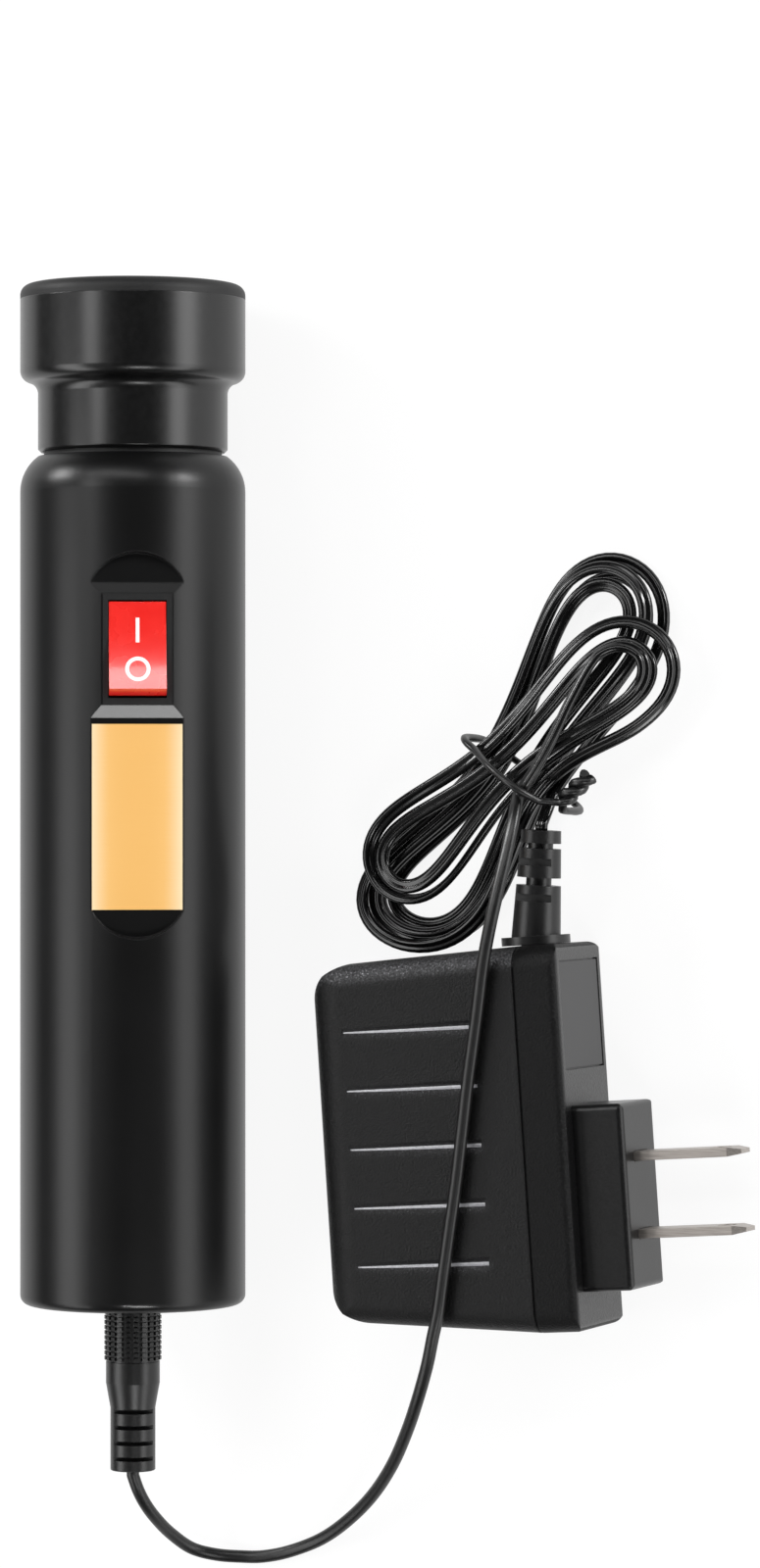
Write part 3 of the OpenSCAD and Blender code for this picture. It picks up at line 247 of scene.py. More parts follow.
# %% Sweeping an outline along a line
def sweep(line, outline, roll, name, up=(0, 0, 1)):
    """A closed tube of outline(i) points, set square to the line and turned by roll(i)."""
    shape = bmesh.new()
    rings = []
    for i, point in enumerate(line):
        ahead = (line[min(i + 1, len(line) - 1)] - line[max(i - 1, 0)]).normalized()
        side = Vector(up).cross(ahead).normalized()
        rise = ahead.cross(side)
        r = roll(i)
        x, y = side * math.cos(r) + rise * math.sin(r), rise * math.cos(r) - side * math.sin(r)
        rings.append([shape.verts.new(point + x * a + y * b) for a, b in outline(i)])
    for first, second in zip(rings, rings[1:]):
        n = len(first)
        for k in range(n):
            shape.faces.new((first[k], first[(k + 1) % n], second[(k + 1) % n], second[k]))
    shape.faces.new(rings[0][::-1])
    shape.faces.new(rings[-1])
    bmesh.ops.recalc_face_normals(shape, faces=shape.faces)
    mesh = bpy.data.meshes.new(name)
    shape.to_mesh(mesh)
    shape.free()
    made = bpy.data.objects.new(name, mesh)
    bpy.context.collection.objects.link(made)
    for face in mesh.polygons:
        face.use_smooth = len(face.vertices) == 4
    return made


print("sweep ready")

# %% [markdown]
# A low-voltage lead of this kind is twin cable: two thin cores side by side in one soft skin. A round
# tube would be simpler, but the double line of light along each turn would be lost. The free stretch
# is nearly round, and in the hank the waist between the cores shows. How tight the skin is drawn
# stays on each point as a number, for the finish to read.

# %% The lead
FREE_CORE, FREE_APART = 0.98, 0.1
TIGHT_CORE, TIGHT_APART = 0.67, 0.55
AROUND, BLEND_RINGS = 20, 60
N_FREE = len(free_line) - 1


def in_hank(i):
    """0 on the free stretch, 1 in the hank."""
    return ease((i - N_FREE) / BLEND_RINGS + 0.5)


def twin(i):
    """Two round cores in one skin: the waist is deep in the hank, shallow on the free stretch."""
    core = mixed(FREE_CORE, TIGHT_CORE, in_hank(i)) * MM
    apart = mixed(FREE_APART, TIGHT_APART, in_hank(i)) * MM
    points = []
    for k in range(AROUND):
        a = 2 * math.pi * (k + 0.5) / AROUND
        c, s = math.cos(a), math.sin(a)
        # the furthest point of either core along this direction
        reach = abs(c) * apart + math.sqrt(max(core * core - (s * apart) ** 2, 0))
        points.append((reach * c, reach * s))
    return points


def lead_roll(i):
    """A slow wander from side to side, as twin cable takes when it is wound by hand."""
    wander = 0.9 * math.sin(i * 0.0205 + 0.6) + 0.5 * math.sin(i * 0.0485 + 2.1)
    return in_hank(i) * wander


lead = sweep(lead_line, twin, lead_roll, "lead")
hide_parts("lead_free", "lead_hank", "lead_tail")
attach(lead, "supply")
tightness = lead.data.attributes.new("tight", "FLOAT", "POINT")
tightness.data.foreach_set("value", [in_hank(i) for i in range(len(lead_line)) for k in range(AROUND)])
print("lead faces", len(lead.data.polygons))

# %% [markdown]
# A soft tie goes once round the waist, and its two ends are twisted together beside the hank. A torus
# would not hug the bunches, so the tie has its own points, given across the hank and up, in a plane
# square to the loops. The two ends are screws about one line, half a turn apart.

# %% The tie's line
TIE_TURN, TIE_AT = math.radians(56), 1.2
TIE_WAY = Vector((math.cos(TIE_TURN), math.sin(TIE_TURN), 0))
TIE_ACROSS = Vector((-math.sin(TIE_TURN), math.cos(TIE_TURN), 0))
TIE_ROUND = [(-9.4, 15.6), (-7.4, 17.2), (-5.2, 18.1), (-2.6, 18), (0.6, 16.8), (3.4, 14.6), (5.8, 12.9),
             (8, 11.8), (9.3, 9.6), (9.3, 5.4), (8.9, 2.4), (7.2, 0.95), (3.6, 0.75), (-0.6, 0.75),
             (-5, 0.75), (-9.4, 0.9), (-11.7, 2), (-12.4, 4.6), (-12.4, 8), (-12.2, 11)]
TIE_STEPS = 4
TWIST_FROM, TWIST_TO = Vector((-12, 13.4, 1.4)), Vector((-13.4, 12.6, 7.6))
TWIST_TURN, TWIST_R, TWIST_STEPS = 470, 0.75, 32
FIRST_END, LAST_END = 80, -100


def in_tie(across, up, off):
    """A place by its measures across the hank and up, and off the tie's plane."""
    there = Vector((HANK[0], HANK[1] + BASE_Y, up)) + (TIE_AT + off) * TIE_WAY + across * TIE_ACROSS
    return there * MM


def twist_point(s, phase):
    """The place a share s along the twist, for the end that starts at a given angle."""
    across, up, off = TWIST_FROM + s * (TWIST_TO - TWIST_FROM)
    a = math.radians(TWIST_TURN * s + phase)
    return in_tie(across + TWIST_R * math.cos(a), up + TWIST_R * math.sin(a), off)


tie_line = ([twist_point(1 - i / TWIST_STEPS, FIRST_END) for i in range(TWIST_STEPS + 1)]
            + smooth_line([in_tie(across, up, 0) for across, up in TIE_ROUND], TIE_STEPS)
            + [twist_point(i / TWIST_STEPS, LAST_END) for i in range(TWIST_STEPS + 1)])
print("tie in", len(tie_line), "rings")

# %% [markdown]
# The tie is wire in soft plastic, a little wider than it is thick. A bevelled curve would keep one
# thickness, so the sweep makes it, with an outline that is fuller where the ends are pulled short.

# %% The tie
TIE_HALF, TWIST_HALF = (0.74, 0.6), (0.92, 0.8)
TIE_AROUND, FILL_RINGS = 10, 8


def flat_wire(i):
    """A flattened round, fuller in the twist."""
    in_twist = 1 - ease((min(i, len(tie_line) - 1 - i) - TWIST_STEPS) / FILL_RINGS + 1)
    wide, thick = (mixed(slim, full, in_twist) * MM for slim, full in zip(TIE_HALF, TWIST_HALF))
    turns = [2 * math.pi * k / TIE_AROUND for k in range(TIE_AROUND)]
    return [(wide * math.cos(a), thick * math.sin(a)) for a in turns]


def tie_roll(i):
    return 0.4 * math.sin(i * 0.3)


tie = sweep(tie_line, flat_wire, tie_roll, "tie", TIE_WAY)
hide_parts("hank_tie")
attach(tie, "supply")
print("tie faces", len(tie.data.polygons))

# %% [markdown]

# %% [markdown]
# The switch sits askew on the barrel. Its marks could be modelled in place, but slanted numbers are
# hard to read, so they are modelled in the switch's own frame, where z points out of the barrel and
# y towards the head, and only then tilted and placed with the rocker.

# %% The switch's frame
ROLL = math.radians(28)
OUT = Vector((math.sin(ROLL), 0, math.cos(ROLL)))
ACROSS = Vector((math.cos(ROLL), 0, -math.sin(ROLL)))
PLATFORM_HALF, SWITCH_Y, PIVOT_DEEP = 5.95, 110.1, 2
REST_TILT = math.radians(-9)
PLATFORM = math.sqrt(BARREL_R**2 - PLATFORM_HALF**2)
PIVOT = (Vector((0, BASE_Y + SWITCH_Y, BARREL_R)) + OUT * (PLATFORM - PIVOT_DEEP)) * MM
ROCKER_FRAME = (Matrix.Translation(PIVOT) @ Matrix((ACROSS, UP, OUT)).transposed().to_4x4()
                @ Matrix.Rotation(REST_TILT, 4, "X"))
print("rocker turns about", [round(x, 4) for x in PIVOT])

# %% [markdown]
# The rocker carries two plain marks, a bar for on and a ring for off, printed on its hollow face. The
# shader could paint them, but a hair of thickness keeps their edges crisp from near and far. The bar
# is a flat cube, cut into short lengths so that it can follow the hollow.

# %% The bar
PRINT = 0.06 * MM
BAR_WIDE, BAR_LONG, BAR_Y = 0.62 * MM, 4.1 * MM, 2.65 * MM

start()
bpy.ops.mesh.primitive_cube_add(size=1, scale=(BAR_WIDE, BAR_LONG, PRINT), location=(0, BAR_Y, 0))
bar = bpy.context.object
bpy.ops.object.transform_apply(location=True, rotation=False, scale=True)
bpy.ops.object.mode_set(mode="EDIT")
bpy.ops.mesh.select_all(action="SELECT")
bpy.ops.mesh.subdivide(number_cuts=6)
bpy.ops.object.mode_set(mode="OBJECT")
print("bar faces", len(bar.data.polygons))

# %% [markdown]
# The ring could be a torus, but that is round in section, and print is flat. So a filled circle is
# inset by the width of the line, its middle is deleted, and the rim is extruded by the thickness of
# the print.

# %% The ring
RING_R, RING_WIDE, RING_Y = 2.1 * MM, 0.65 * MM, -3.9 * MM

start()
bpy.ops.mesh.primitive_circle_add(vertices=48, radius=RING_R, location=(0, RING_Y, 0), fill_type="NGON")
ring = bpy.context.object
bpy.ops.object.transform_apply(location=True, rotation=False, scale=True)
bpy.ops.object.mode_set(mode="EDIT")
bpy.ops.mesh.select_all(action="SELECT")
bpy.ops.mesh.inset(thickness=RING_WIDE)
bpy.ops.mesh.delete(type="FACE")
bpy.ops.mesh.select_all(action="SELECT")
bpy.ops.mesh.extrude_region_move(TRANSFORM_OT_translate={"value": (0, 0, PRINT)})
bpy.ops.mesh.select_all(action="SELECT")
bpy.ops.mesh.normals_make_consistent(inside=False)
bpy.ops.object.mode_set(mode="OBJECT")
print("ring faces", len(ring.data.polygons))

# %% [markdown]
# Print follows what it lies on. A Shrinkwrap modifier could press the marks onto the rocker, but its
# hollow is a plain arc, so each point is simply lifted to the arc's height there. The finished marks
# go to the rocker's place and ride on it.

# %% Onto the rocker
ROCKER_HALF, ROCKER_PROUD, DISH_DEEP = 7.3, 1.75, 0.7
DISH_R = (ROCKER_HALF**2 + DISH_DEEP**2) / (2 * DISH_DEEP)


def dish_height(y):
    """How high the rocker's hollow face lies above its pivot, in metres, at y millimetres."""
    bottom = PIVOT_DEEP + ROCKER_PROUD - DISH_DEEP
    return (bottom + DISH_R - math.sqrt(DISH_R**2 - y * y)) * MM


def settle(made, name, place):
    """Puts a finished mesh where it belongs and leaves its object at the origin."""
    made.data.transform(place @ made.matrix_basis)
    made.matrix_basis = Matrix.Identity(4)
    made.name = name


for mark, name in ((bar, "mark_on"), (ring, "mark_off")):
    for v in mark.data.vertices:
        v.co.z += dish_height(v.co.y / MM)
    settle(mark, name, ROCKER_FRAME)
    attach(mark, "rocker")
print("marks on a hollow of", round(DISH_R, 1), "mm radius")

# %% [markdown]
# The adapter's front has a shallow square recess with a bare, thin satin panel in it. A plane could
# stand for it, but a sheet has an edge that catches the light: so it is a flat cube with its edges
# bevelled, set in with a hair's breadth all round so that its outline shows.

# %% The bare panel
ADAPTER_AT = (ADAPTER + Vector((0, BASE_Y, 0))) * MM
ADAPTER_FRAME = Matrix.Translation(ADAPTER_AT) @ Matrix.Rotation(ADAPTER_TURN, 4, "Z")
PANEL_SIZE = Vector((0.28, 17.5, 17.1)) * MM
PANEL_AT = Vector((6.97, -11, ADAPTER_HALF)) * MM
PANEL_BEVEL = 0.1 * MM

start()
bpy.ops.mesh.primitive_cube_add(size=1, scale=PANEL_SIZE, location=PANEL_AT)
panel = bpy.context.object
bpy.ops.object.transform_apply(location=True, rotation=False, scale=True)
bpy.ops.object.mode_set(mode="EDIT")
bpy.ops.mesh.select_all(action="SELECT")
bpy.ops.mesh.bevel(offset=PANEL_BEVEL, segments=2)
bpy.ops.object.mode_set(mode="OBJECT")
settle(panel, "front_panel", ADAPTER_FRAME)
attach(panel, "supply")
print("panel faces", len(panel.data.polygons))

# %% [markdown]
# Nodes could be placed and joined one by one, but a page of them hides the idea, and shader maths
# reads best as plain sums. A small class wraps one output of a material's nodes, so that adding or
# comparing two of them adds the Math nodes for it.


# %% An output that can be reckoned with
class Value:
    def __init__(self, finish, socket):
        self.finish, self.socket = finish, socket

    def math(self, operation, *terms):
        return self.finish.add("ShaderNodeMath", {"operation": operation}, dict(enumerate(terms)))

    def __add__(self, other):
        return self.math("ADD", self, other)

    def __sub__(self, other):
        return self.math("SUBTRACT", self, other)

    def __rsub__(self, other):
        return self.math("SUBTRACT", other, self)

    def __mul__(self, other):
        return self.math("MULTIPLY", self, other)

    def __pow__(self, other):
        return self.math("POWER", self, other)

    def __gt__(self, other):
        return self.math("GREATER_THAN", self, other)

    def __lt__(self, other):
        return self.math("LESS_THAN", self, other)

    def __abs__(self):
        return self.math("ABSOLUTE", self)

    def at_least(self, other):
        return self.math("MAXIMUM", self, other)

    __radd__, __rmul__ = __add__, __mul__


print("values ready")

# %% [markdown]
# A finish is one material on the object's own coordinates. One method adds any node, and the
# others are the few patterns that the surfaces here need: noise, a colour ramp, softened edges, the
# faces turned one way, and a bump. Real moulded and machined edges are never knife sharp. Bevelling
# every solid would change its mesh, so the softened edge only turns the surface's direction a little
# near each edge, and it catches a thin light.


# %% A finish
class Finish:
    def __init__(self, name, **sockets):
        self.material = bpy.data.materials.new(name)
        self.material.use_nodes = True
        self.tree = self.material.node_tree
        self.shader = self.tree.nodes["Principled BSDF"]
        self.place = self.add("ShaderNodeTexCoord", {}, {}, "Object")
        self.set(**sockets)

    def add(self, kind, settings, inputs, output=0):
        """Adds a node, sets it up, feeds its sockets, and gives one of its outputs."""
        made = self.tree.nodes.new(kind)
        for key, value in settings.items():
            if key == "stops":
                while len(made.color_ramp.elements) < len(value):
                    made.color_ramp.elements.new(0.5)
                for element, (at, colour) in zip(made.color_ramp.elements, value):
                    element.position, element.color = at, (*colour, 1)
            else:
                setattr(made, key, value)
        for key, value in inputs.items():
            self.feed(made.inputs[key], value)
        return Value(self, made.outputs[output])

    def feed(self, socket, value):
        """Links a value to a socket, or sets the socket to a number, vector or colour."""
        if isinstance(value, Value):
            self.tree.links.new(value.socket, socket)
        else:
            socket.default_value = (*value, 1) if socket.type == "RGBA" and len(value) == 3 else value

    def set(self, **sockets):
        """Feeds the shader's own sockets, named with underscores for spaces."""
        for key, value in sockets.items():
            self.feed(self.shader.inputs[key.replace("_", " ")], value)
        return self

    def noise(self, scale, detail=2.0, squeeze=(1, 1, 1)):
        """Soft noise with a given number of cells per metre, squeezed along the axes."""
        where = self.add("ShaderNodeMapping", {}, {"Vector": self.place, "Scale": squeeze})
        return self.add("ShaderNodeTexNoise", {}, {"Vector": where, "Scale": scale, "Detail": detail})

    def ramp(self, value, *stops):
        return self.add("ShaderNodeValToRGB", {"stops": stops}, {"Fac": value})

    def edges(self, radius):
        return self.add("ShaderNodeBevel", {"samples": 4}, {"Radius": radius * MM})

    def along(self, vector, way):
        """How far a vector reaches along a direction."""
        return self.add("ShaderNodeVectorMath", {"operation": "DOT_PRODUCT"}, {0: vector, 1: way}, "Value")

    def facing(self, way, least):
        """1 where the surface faces a way, within the angle whose cosine is given, and 0 elsewhere."""
        return self.along(self.add("ShaderNodeNewGeometry", {}, {}, "Normal"), way) > least

    def bump(self, height, strength, depth, normal=None):
        inputs = {"Height": height, "Strength": strength, "Distance": depth * MM}
        if normal:
            inputs["Normal"] = normal
        return self.add("ShaderNodeBump", {}, inputs)


print("finish helpers ready")

# %% [markdown]
# The barrel has a fine, slightly rough black coat. Roughness alone would look like flat paint close
# up, so tiny bumps help it to scatter the side lights into two broad soft streaks. The switch
# platform's lower bevel was milled after coating and shines more, so a clear coat is laid on the
# faces that are turned its way.

# %% Barrel finish
BEVEL_WAY = (0.45, -0.31, 0.84)


def grey(level):
    """A dark grey with a touch of blue, as black plastic and coatings have."""
    return (level, level, level * 1.06)


coat = Finish("barrel_coat", Specular_IOR_Level=0.33, Coat_Roughness=0.2)
fine, patch = coat.noise(5200, 3), coat.noise(60, 2)
coat.set(Base_Color=coat.ramp(patch, (0.35, grey(0.0014)), (0.65, grey(0.0026))),
         Roughness=0.3 + 0.08 * fine, Coat_Weight=0.8 * coat.facing(BEVEL_WAY, 0.985),
         Normal=coat.bump(fine, 0.12, 0.08, coat.edges(0.45)))
print("barrel finish")

# %% [markdown]
# The head is smooth black plastic, with sharper and brighter streaks than the barrel. The seat's rim
# is soft rubber, so it stays dull. One black with two shines could serve for both, but rubber holds
# dust, so it has its own finer and paler noise.

# %% Head and rim finishes
gloss = Finish("head_gloss", Specular_IOR_Level=0.55)
haze = gloss.noise(900, 3)
gloss.set(Base_Color=gloss.ramp(haze, (0.4, grey(0.0012)), (0.6, grey(0.002))),
          Roughness=0.26 + 0.06 * haze, Normal=gloss.edges(0.25))

soft = Finish("soft_rim", Specular_IOR_Level=0.4)
dust = soft.noise(2500, 4)
soft.set(Base_Color=soft.ramp(dust, (0.35, grey(0.003)), (0.7, grey(0.006))), Roughness=0.5 + 0.12 * dust,
         Normal=soft.bump(dust, 0.1, 0.06))
print("head and rim finishes")

# %% [markdown]
# The plate is thin gold-coloured sheet with fine brush lines across it. Towards its two long edges,
# where it bends a little down to the flat, it catches more light, and that is painted into its colour
# as paler bands of painted highlight. The bands could be left to the lights, but then they would move
# with them. How far a point lies across the barrel is its place along the barrel's cross direction,
# so the bands follow the plate at any turn.

# %% Plate finish
PLATE_HALF = 7.5 * MM
plate = Finish("gold_plate", Metallic=0.15, Specular_IOR_Level=0.5)
lines = plate.noise(900, 3, (0.15, 9, 0.15))
broad = plate.noise(70, 2, (1, 0.4, 1))
off_middle = abs(plate.along(plate.place, ACROSS) - ACROSS.z * BARREL_R * MM)
# painted highlight: the colour grows paler towards the plate's long edges
painted_edge_highlight = off_middle * (1 / PLATE_HALF)
plate.set(Base_Color=plate.ramp(0.75 * painted_edge_highlight**3 + 0.17 * broad + 0.08 * lines,
                                (0.05, (0.86, 0.48, 0.14)), (0.3, (0.9, 0.525, 0.175)),
                                (0.95, (0.98, 0.8, 0.52))),
          Roughness=0.3 + 0.16 * lines, Normal=plate.bump(lines, 0.12, 0.05))
print("plate finish")

# %% [markdown]
# The rocker is bright red glossy plastic, and its two marks are white print. Less roughness alone
# could make it shine, but a clear coat gives the sharp sheen of polished moulding and leaves the red
# under it full.

# %% Rocker and print finishes
red = Finish("rocker_red", Specular_IOR_Level=1.0, Coat_Weight=1.0, Coat_Roughness=0.1)
cloud = red.noise(240, 2)
red.set(Base_Color=red.ramp(cloud, (0.3, (0.8, 0.013, 0.009)), (0.7, (0.87, 0.02, 0.014))),
        Roughness=0.24 + 0.06 * cloud, Normal=red.edges(0.15))

white = Finish("white_print")
grain = white.noise(2600, 2)
white.set(Base_Color=white.ramp(grain, (0.3, (0.86, 0.84, 0.83)), (0.7, (0.93, 0.92, 0.91))),
          Roughness=0.45 + 0.1 * grain)
print("rocker and print finishes")

# %% [markdown]
# The adapter's mould was spark-eroded, which leaves a fine grain of pits that glints along the edges.
# Pits a third of a millimetre wide are too small to model, so one noise drives bump, roughness and
# colour. The cover's front was polished in the mould, so a clear coat there mirrors more of the table
# than the grained sides do.


# %% Grained cover finish
def grained(name, shine):
    """A grained moulding, and its pits to colour it by."""
    made = Finish(name, Specular_IOR_Level=shine, Coat_Roughness=0.2)
    pits = made.noise(2900, 3)
    made.set(Roughness=0.34 + 0.2 * pits, Normal=made.bump(pits, 1.0, 0.16, made.edges(0.6)))
    return made, pits


FRONT_WAY = (math.cos(ADAPTER_TURN), math.sin(ADAPTER_TURN), 0)
cover_black, pits = grained("cover_black", 0.14)
cover_black.set(Base_Color=cover_black.ramp(pits, (0.35, grey(0.0016)), (0.7, grey(0.004))),
                Coat_Weight=0.6 * cover_black.facing(FRONT_WAY, 0.9))
print("grained cover finish")

# %% [markdown]
# The block that carries the blades is a separate, smoother moulding, and the bare panel is satin.
# They could share the grained finish, but then the joints between the pieces would not show, so each
# has its own shine and a weaker bump.

# %% Block and panel finishes
block = Finish("block_black", Specular_IOR_Level=0.4)
specks = block.noise(3000, 3)
block.set(Base_Color=block.ramp(specks, (0.35, grey(0.002)), (0.7, grey(0.005))),
          Roughness=0.27 + 0.1 * specks, Normal=block.bump(specks, 0.2, 0.06, block.edges(0.3)))

satin = Finish("panel_satin", Specular_IOR_Level=0.62)
sheen = satin.noise(2200, 3)
satin.set(Base_Color=satin.ramp(sheen, (0.35, grey(0.012)), (0.7, grey(0.02))),
          Roughness=0.42 + 0.1 * sheen, Normal=satin.bump(sheen, 0.15, 0.04))
print("block and panel finishes")

# %% [markdown]
# The five finger grooves on the adapter's broad sides show as bright lines: the mould's cutter left
# them polished, and their walls that face the light beyond the head catch it. A clear coat gives them
# real shine, and that light is also painted into their colour as a painted highlight. Faces could be
# picked out for a second material, but the grooves lie in the rear case's own mesh, so the shader finds
# them: in the adapter's frame, a point in the grooves' field, below the face and turned towards the
# head is on a groove's lit wall.

# %% The grooves' walls
GROOVES_X, GROOVES_Y, GROOVES_OFF_MIDDLE = (-31.2, -7), (-51.6, -10.6), (10.2, 10.9)
TO_HEAD = (0, 1, 0)
case, pits = grained("case_black", 0.22)
place = case.add("ShaderNodeMapping", {"vector_type": "TEXTURE"},
                 {"Vector": case.place, "Location": ADAPTER_AT, "Rotation": (0, 0, ADAPTER_TURN)})
x, y, z = (case.add("ShaderNodeSeparateXYZ", {}, {"Vector": place}, axis) for axis in "XYZ")


def within(value, limits):
    low, high = limits
    return (value > low * MM) * (value < high * MM)


off_middle = abs(z - ADAPTER_HALF * MM)
# groove walls turned towards the light beyond the head, painted paler below as a painted highlight
lit_groove_wall = (within(x, GROOVES_X) * within(y, GROOVES_Y) * within(off_middle, GROOVES_OFF_MIDDLE)
             * case.facing(TO_HEAD, 0.05))
print("groove field", GROOVES_X, "by", GROOVES_Y, "mm")

# %% [markdown]
# Light also glints in the case's grain along its rounded upper edge. A light could be aimed at it,
# but would reach the lamp as well, so the glint is painted: the edge is found by its direction, and
# where the softened edge is half turned towards the head, the pits are painted paler as a painted
# highlight.

# %% Grooved case finish
glints = case.noise(2600, 3, (0.6, 2.2, 1))
turned = case.along(case.edges(2.2), TO_HEAD)
# painted highlight where the rounded upper edge half faces the light beyond the head
painted_upper_glint = (4 * turned * (1 - turned)).at_least(0)
# painted highlight: the lit groove walls and the upper edge's glint are painted into the base colour; the
# groove walls also get a real clear coat
case.set(Base_Color=case.ramp(0.3 * pits + lit_groove_wall * (0.42 + 0.36 * glints) + 0.75 * painted_upper_glint * pits,
                              (0.1, grey(0.0016)), (0.3, grey(0.005)), (0.6, grey(0.06)), (0.9, grey(0.5))),
         Coat_Weight=lit_groove_wall)
print("grooved case finish")

# %% [markdown]
# The lead, plug and bend reliefs are soft black plastic with a satin sheen. In the hank the skin is
# drawn tight and shines in thin lines, and on the free stretch it is duller. Two materials would meet
# in a seam, so the lead carries its tightness as a number on each point, which the finish reads.

# %% Lead and grip finishes
skin = Finish("lead_skin", Specular_IOR_Level=0.5)
scuff = skin.noise(700, 3)
tight = skin.add("ShaderNodeAttribute", {"attribute_name": "tight"}, {}, "Fac")
skin.set(Base_Color=skin.ramp(scuff, (0.35, grey(0.0014)), (0.7, grey(0.003))),
         Roughness=0.36 - 0.2 * tight + 0.06 * scuff, Normal=skin.bump(scuff, 0.08, 0.05))

moulded = Finish("soft_moulded", Specular_IOR_Level=0.5)
speck = moulded.noise(2400, 3)
moulded.set(Base_Color=moulded.ramp(speck, (0.35, grey(0.0018)), (0.7, grey(0.004))),
            Roughness=0.3 + 0.12 * speck, Normal=moulded.bump(speck, 0.2, 0.06, moulded.edges(0.12)))
print("lead and grip finishes")

# %% [markdown]
# The blades are nickel-plated strip with fine draw lines along their length. An anisotropic shine
# could stand for the lines, but would not show them, so they are noise that is squeezed across the
# blade and stretched along it.

# %% Blade finish
nickel = Finish("nickel", Metallic=1.0)
drawn = nickel.noise(600, 3, (0.3, 8, 8))
nickel.set(Base_Color=nickel.ramp(drawn, (0.3, (0.34, 0.31, 0.285)), (0.7, (0.5, 0.46, 0.43))),
           Roughness=0.34 + 0.14 * drawn, Normal=nickel.edges(0.12))
print("blade finish")

# %% [markdown]
# The pieces inside are finished too, for whoever opens the model: brass contacts, the clear window,
# the plated cone, boards, wires and cans. One flat colour each would look like a toy, so each has two
# near colours mixed by noise, and one function makes them all.


# %% Inner finishes
def plain(name, low, high, rough, **sockets):
    made = Finish(name, **sockets)
    mottle = made.noise(1500, 2)
    return made.set(Base_Color=made.ramp(mottle, (0.35, low), (0.65, high)), Roughness=rough + 0.1 * mottle)


brass = plain("brass_contacts", (0.6, 0.38, 0.12), (0.72, 0.5, 0.18), 0.25, Metallic=1.0)
turned_metal = plain("turned_aluminium", (0.6, 0.6, 0.61), (0.72, 0.72, 0.73), 0.3, Metallic=1.0)
cone = plain("plated_cone", (0.82, 0.82, 0.82), (0.9, 0.9, 0.9), 0.04, Metallic=1.0)
glass = plain("clear_window", (0.9, 0.93, 0.94), (0.95, 0.97, 0.98), 0.03, Transmission_Weight=0.95,
              IOR=1.49)
mask = plain("white_mask", (0.72, 0.72, 0.7), (0.8, 0.8, 0.78), 0.4)
phosphor = plain("phosphor", (0.85, 0.6, 0.1), (0.9, 0.68, 0.15), 0.25)
board = plain("green_board", (0.02, 0.11, 0.05), (0.03, 0.15, 0.07), 0.35)
tape = plain("yellow_tape", (0.75, 0.5, 0.06), (0.82, 0.58, 0.09), 0.35)
red_wire = plain("red_wire", (0.5, 0.02, 0.015), (0.6, 0.03, 0.02), 0.4)
print("inner finishes")

# %% [markdown]
# Each solid and each new piece now puts on its finish. This could be done piece by piece as they are
# made, but one table shows at a glance who wears what. The solids keep their shape from the CAD model,
# so only their material slots change.

# %% Who wears what
FINISHES = {
    "barrel": coat, "label_plate": plate, "end_cap": soft, "head_collar": gloss, "neck_gasket": soft,
    "egg_seat": soft, "window": glass, "reflector": cone, "led_board": mask, "led_emitter": phosphor,
    "board_screws": nickel, "heat_sink": turned_metal, "jack_body": soft, "jack_nut": nickel,
    "jack_pin": brass, "jack_spring": brass, "switch_housing": soft, "switch_terminals": brass,
    "contact_lever": brass, "rocker": red, "wire_jack_switch": red_wire, "wire_switch_led": red_wire,
    "wire_led_jack": skin, "plug_sleeve": nickel, "plug_insulator": soft, "plug_grip": moulded,
    "lead_free": skin, "lead_hank": skin, "lead_tail": skin, "hank_tie": moulded,
    "adapter_boot": moulded, "rear_case": case, "front_cover": cover_black, "prong_block": block,
    "blades": nickel, "blade_springs": brass, "adapter_board": board, "transformer": tape,
    "capacitors": turned_metal}


def wear(piece, finish):
    piece.data.materials.clear()
    piece.data.materials.append(finish.material)


for name, finish in FINISHES.items():
    wear(nodes[name], finish)
for piece, finish in ((lead, skin), (tie, moulded), (bar, white), (ring, white), (panel, satin)):
    wear(piece, finish)
print(len(FINISHES), "solids finished")

# %% [markdown]
# Everything lies on a white table. Light strong enough to whiten it would wash out the black pieces,
# so it shows as near white to the lens and in reflections by a share of plain glow for those rays.
# The rest of it is lit, so it keeps a faint shadow.

# %% Table
TABLE_SIZE, GLOW, GLOW_SHARE = 8, 1.02, 0.88
start()
bpy.ops.mesh.primitive_grid_add(x_subdivisions=8, y_subdivisions=8, size=TABLE_SIZE)
table = bpy.context.object
table.name = "table"
cloth = Finish("table_white", Base_Color=(0.97, 0.97, 0.97), Roughness=0.9, Specular_IOR_Level=0.0)
lens, mirror, through = (cloth.add("ShaderNodeLightPath", {}, {}, kind)
                         for kind in ("Is Camera Ray", "Is Glossy Ray", "Is Transmission Ray"))
glow = cloth.add("ShaderNodeEmission", {}, {"Color": (1, 1, 1), "Strength": GLOW})
lit = Value(cloth, cloth.shader.outputs[0])
mix = cloth.add("ShaderNodeMixShader", {}, {0: (lens + mirror + through) * GLOW_SHARE, 1: lit, 2: glow})
cloth.feed(cloth.tree.nodes["Material Output"].inputs["Surface"], mix)
wear(table, cloth)
print("table", table.dimensions.x, "m wide")

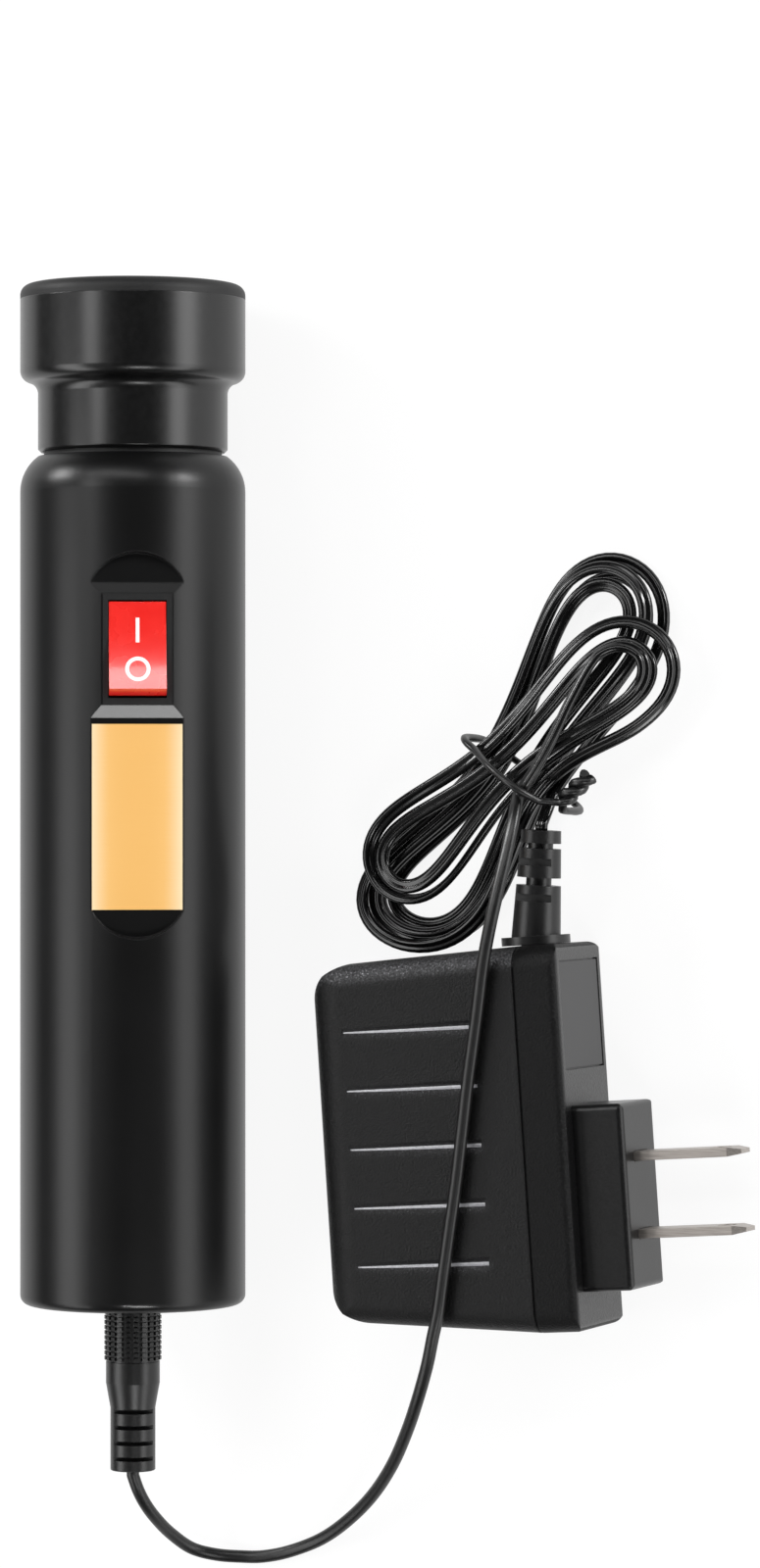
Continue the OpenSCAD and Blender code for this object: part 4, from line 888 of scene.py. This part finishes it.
# %% [markdown]
# Black things are lit by what they mirror, so each light is placed for its reflection. A lamp could be
# turned by three angles, but a direction from the middle of the view is easier to think in: one
# function sets a soft box that way, turned to the view.


# %% A soft box
def softbox(name, way, far, width, length, level, shift=0):
    """A soft light in a direction from the middle of the view, its length along the barrel."""
    bpy.ops.object.light_add(type="AREA")
    lamp = bpy.context.object
    lamp.name = name
    lamp.data.shape = "RECTANGLE"
    lamp.data.size, lamp.data.size_y = width, length
    lamp.data.energy = level * math.pi * width * length
    way = Vector(way).normalized()
    side = UP.cross(way).normalized()
    lamp.matrix_world = (Matrix.Translation(AIM + way * far + UP * shift)
                         @ Matrix((side, way.cross(side), way)).transposed().to_4x4())


def from_lens(degrees):
    """A direction so many degrees to the right of the lens."""
    turn = math.radians(degrees)
    return math.sin(turn) * RIGHT + math.cos(turn) * BACK


print("soft boxes aim at", [round(x, 3) for x in AIM])

# %% [markdown]
# Two long soft boxes at the sides draw the streaks down the barrel, a weak one fills the left and a
# short one draws the head's own streak. One beyond the head whitens the rocker's lower half and the
# adapter's top edge. Three small ones set single glints: one on each side of the barrel's shoulder,
# and one on the switch platform's lower slope. A bright sky would flatten all of that, so it is weak
# and even.

# %% Lights
start()
softbox("left_strip", from_lens(-66), 0.7, 0.32, 0.95, 3.9, -0.4)
softbox("left_fill", from_lens(-34), 0.8, 0.3, 1.2, 0.24)
softbox("right_strip", from_lens(60), 0.7, 0.36, 1.3, 3.5, -0.1)
softbox("head_strip", from_lens(-43), 0.7, 0.17, 0.22, 5.8, 0.2)
softbox("head_box", (0.05, 0.62, 0.78), 0.8, 0.9, 0.16, 4.9)
softbox("left_spot", (-0.7, 0.47, 0.4), 0.8, 0.2, 0.2, 26)
softbox("right_spot", (0.86, 0.47, 0.14), 0.8, 0.2, 0.16, 26)
softbox("base_box", (0.42, -0.57, 0.7), 0.7, 0.24, 0.16, 9)
sky = bpy.data.worlds.new("sky")
sky.use_nodes = True
sky.node_tree.nodes["Background"].inputs["Color"].default_value = (0.035, 0.035, 0.035, 1)
bpy.context.scene.world = sky
print("eight soft lights")
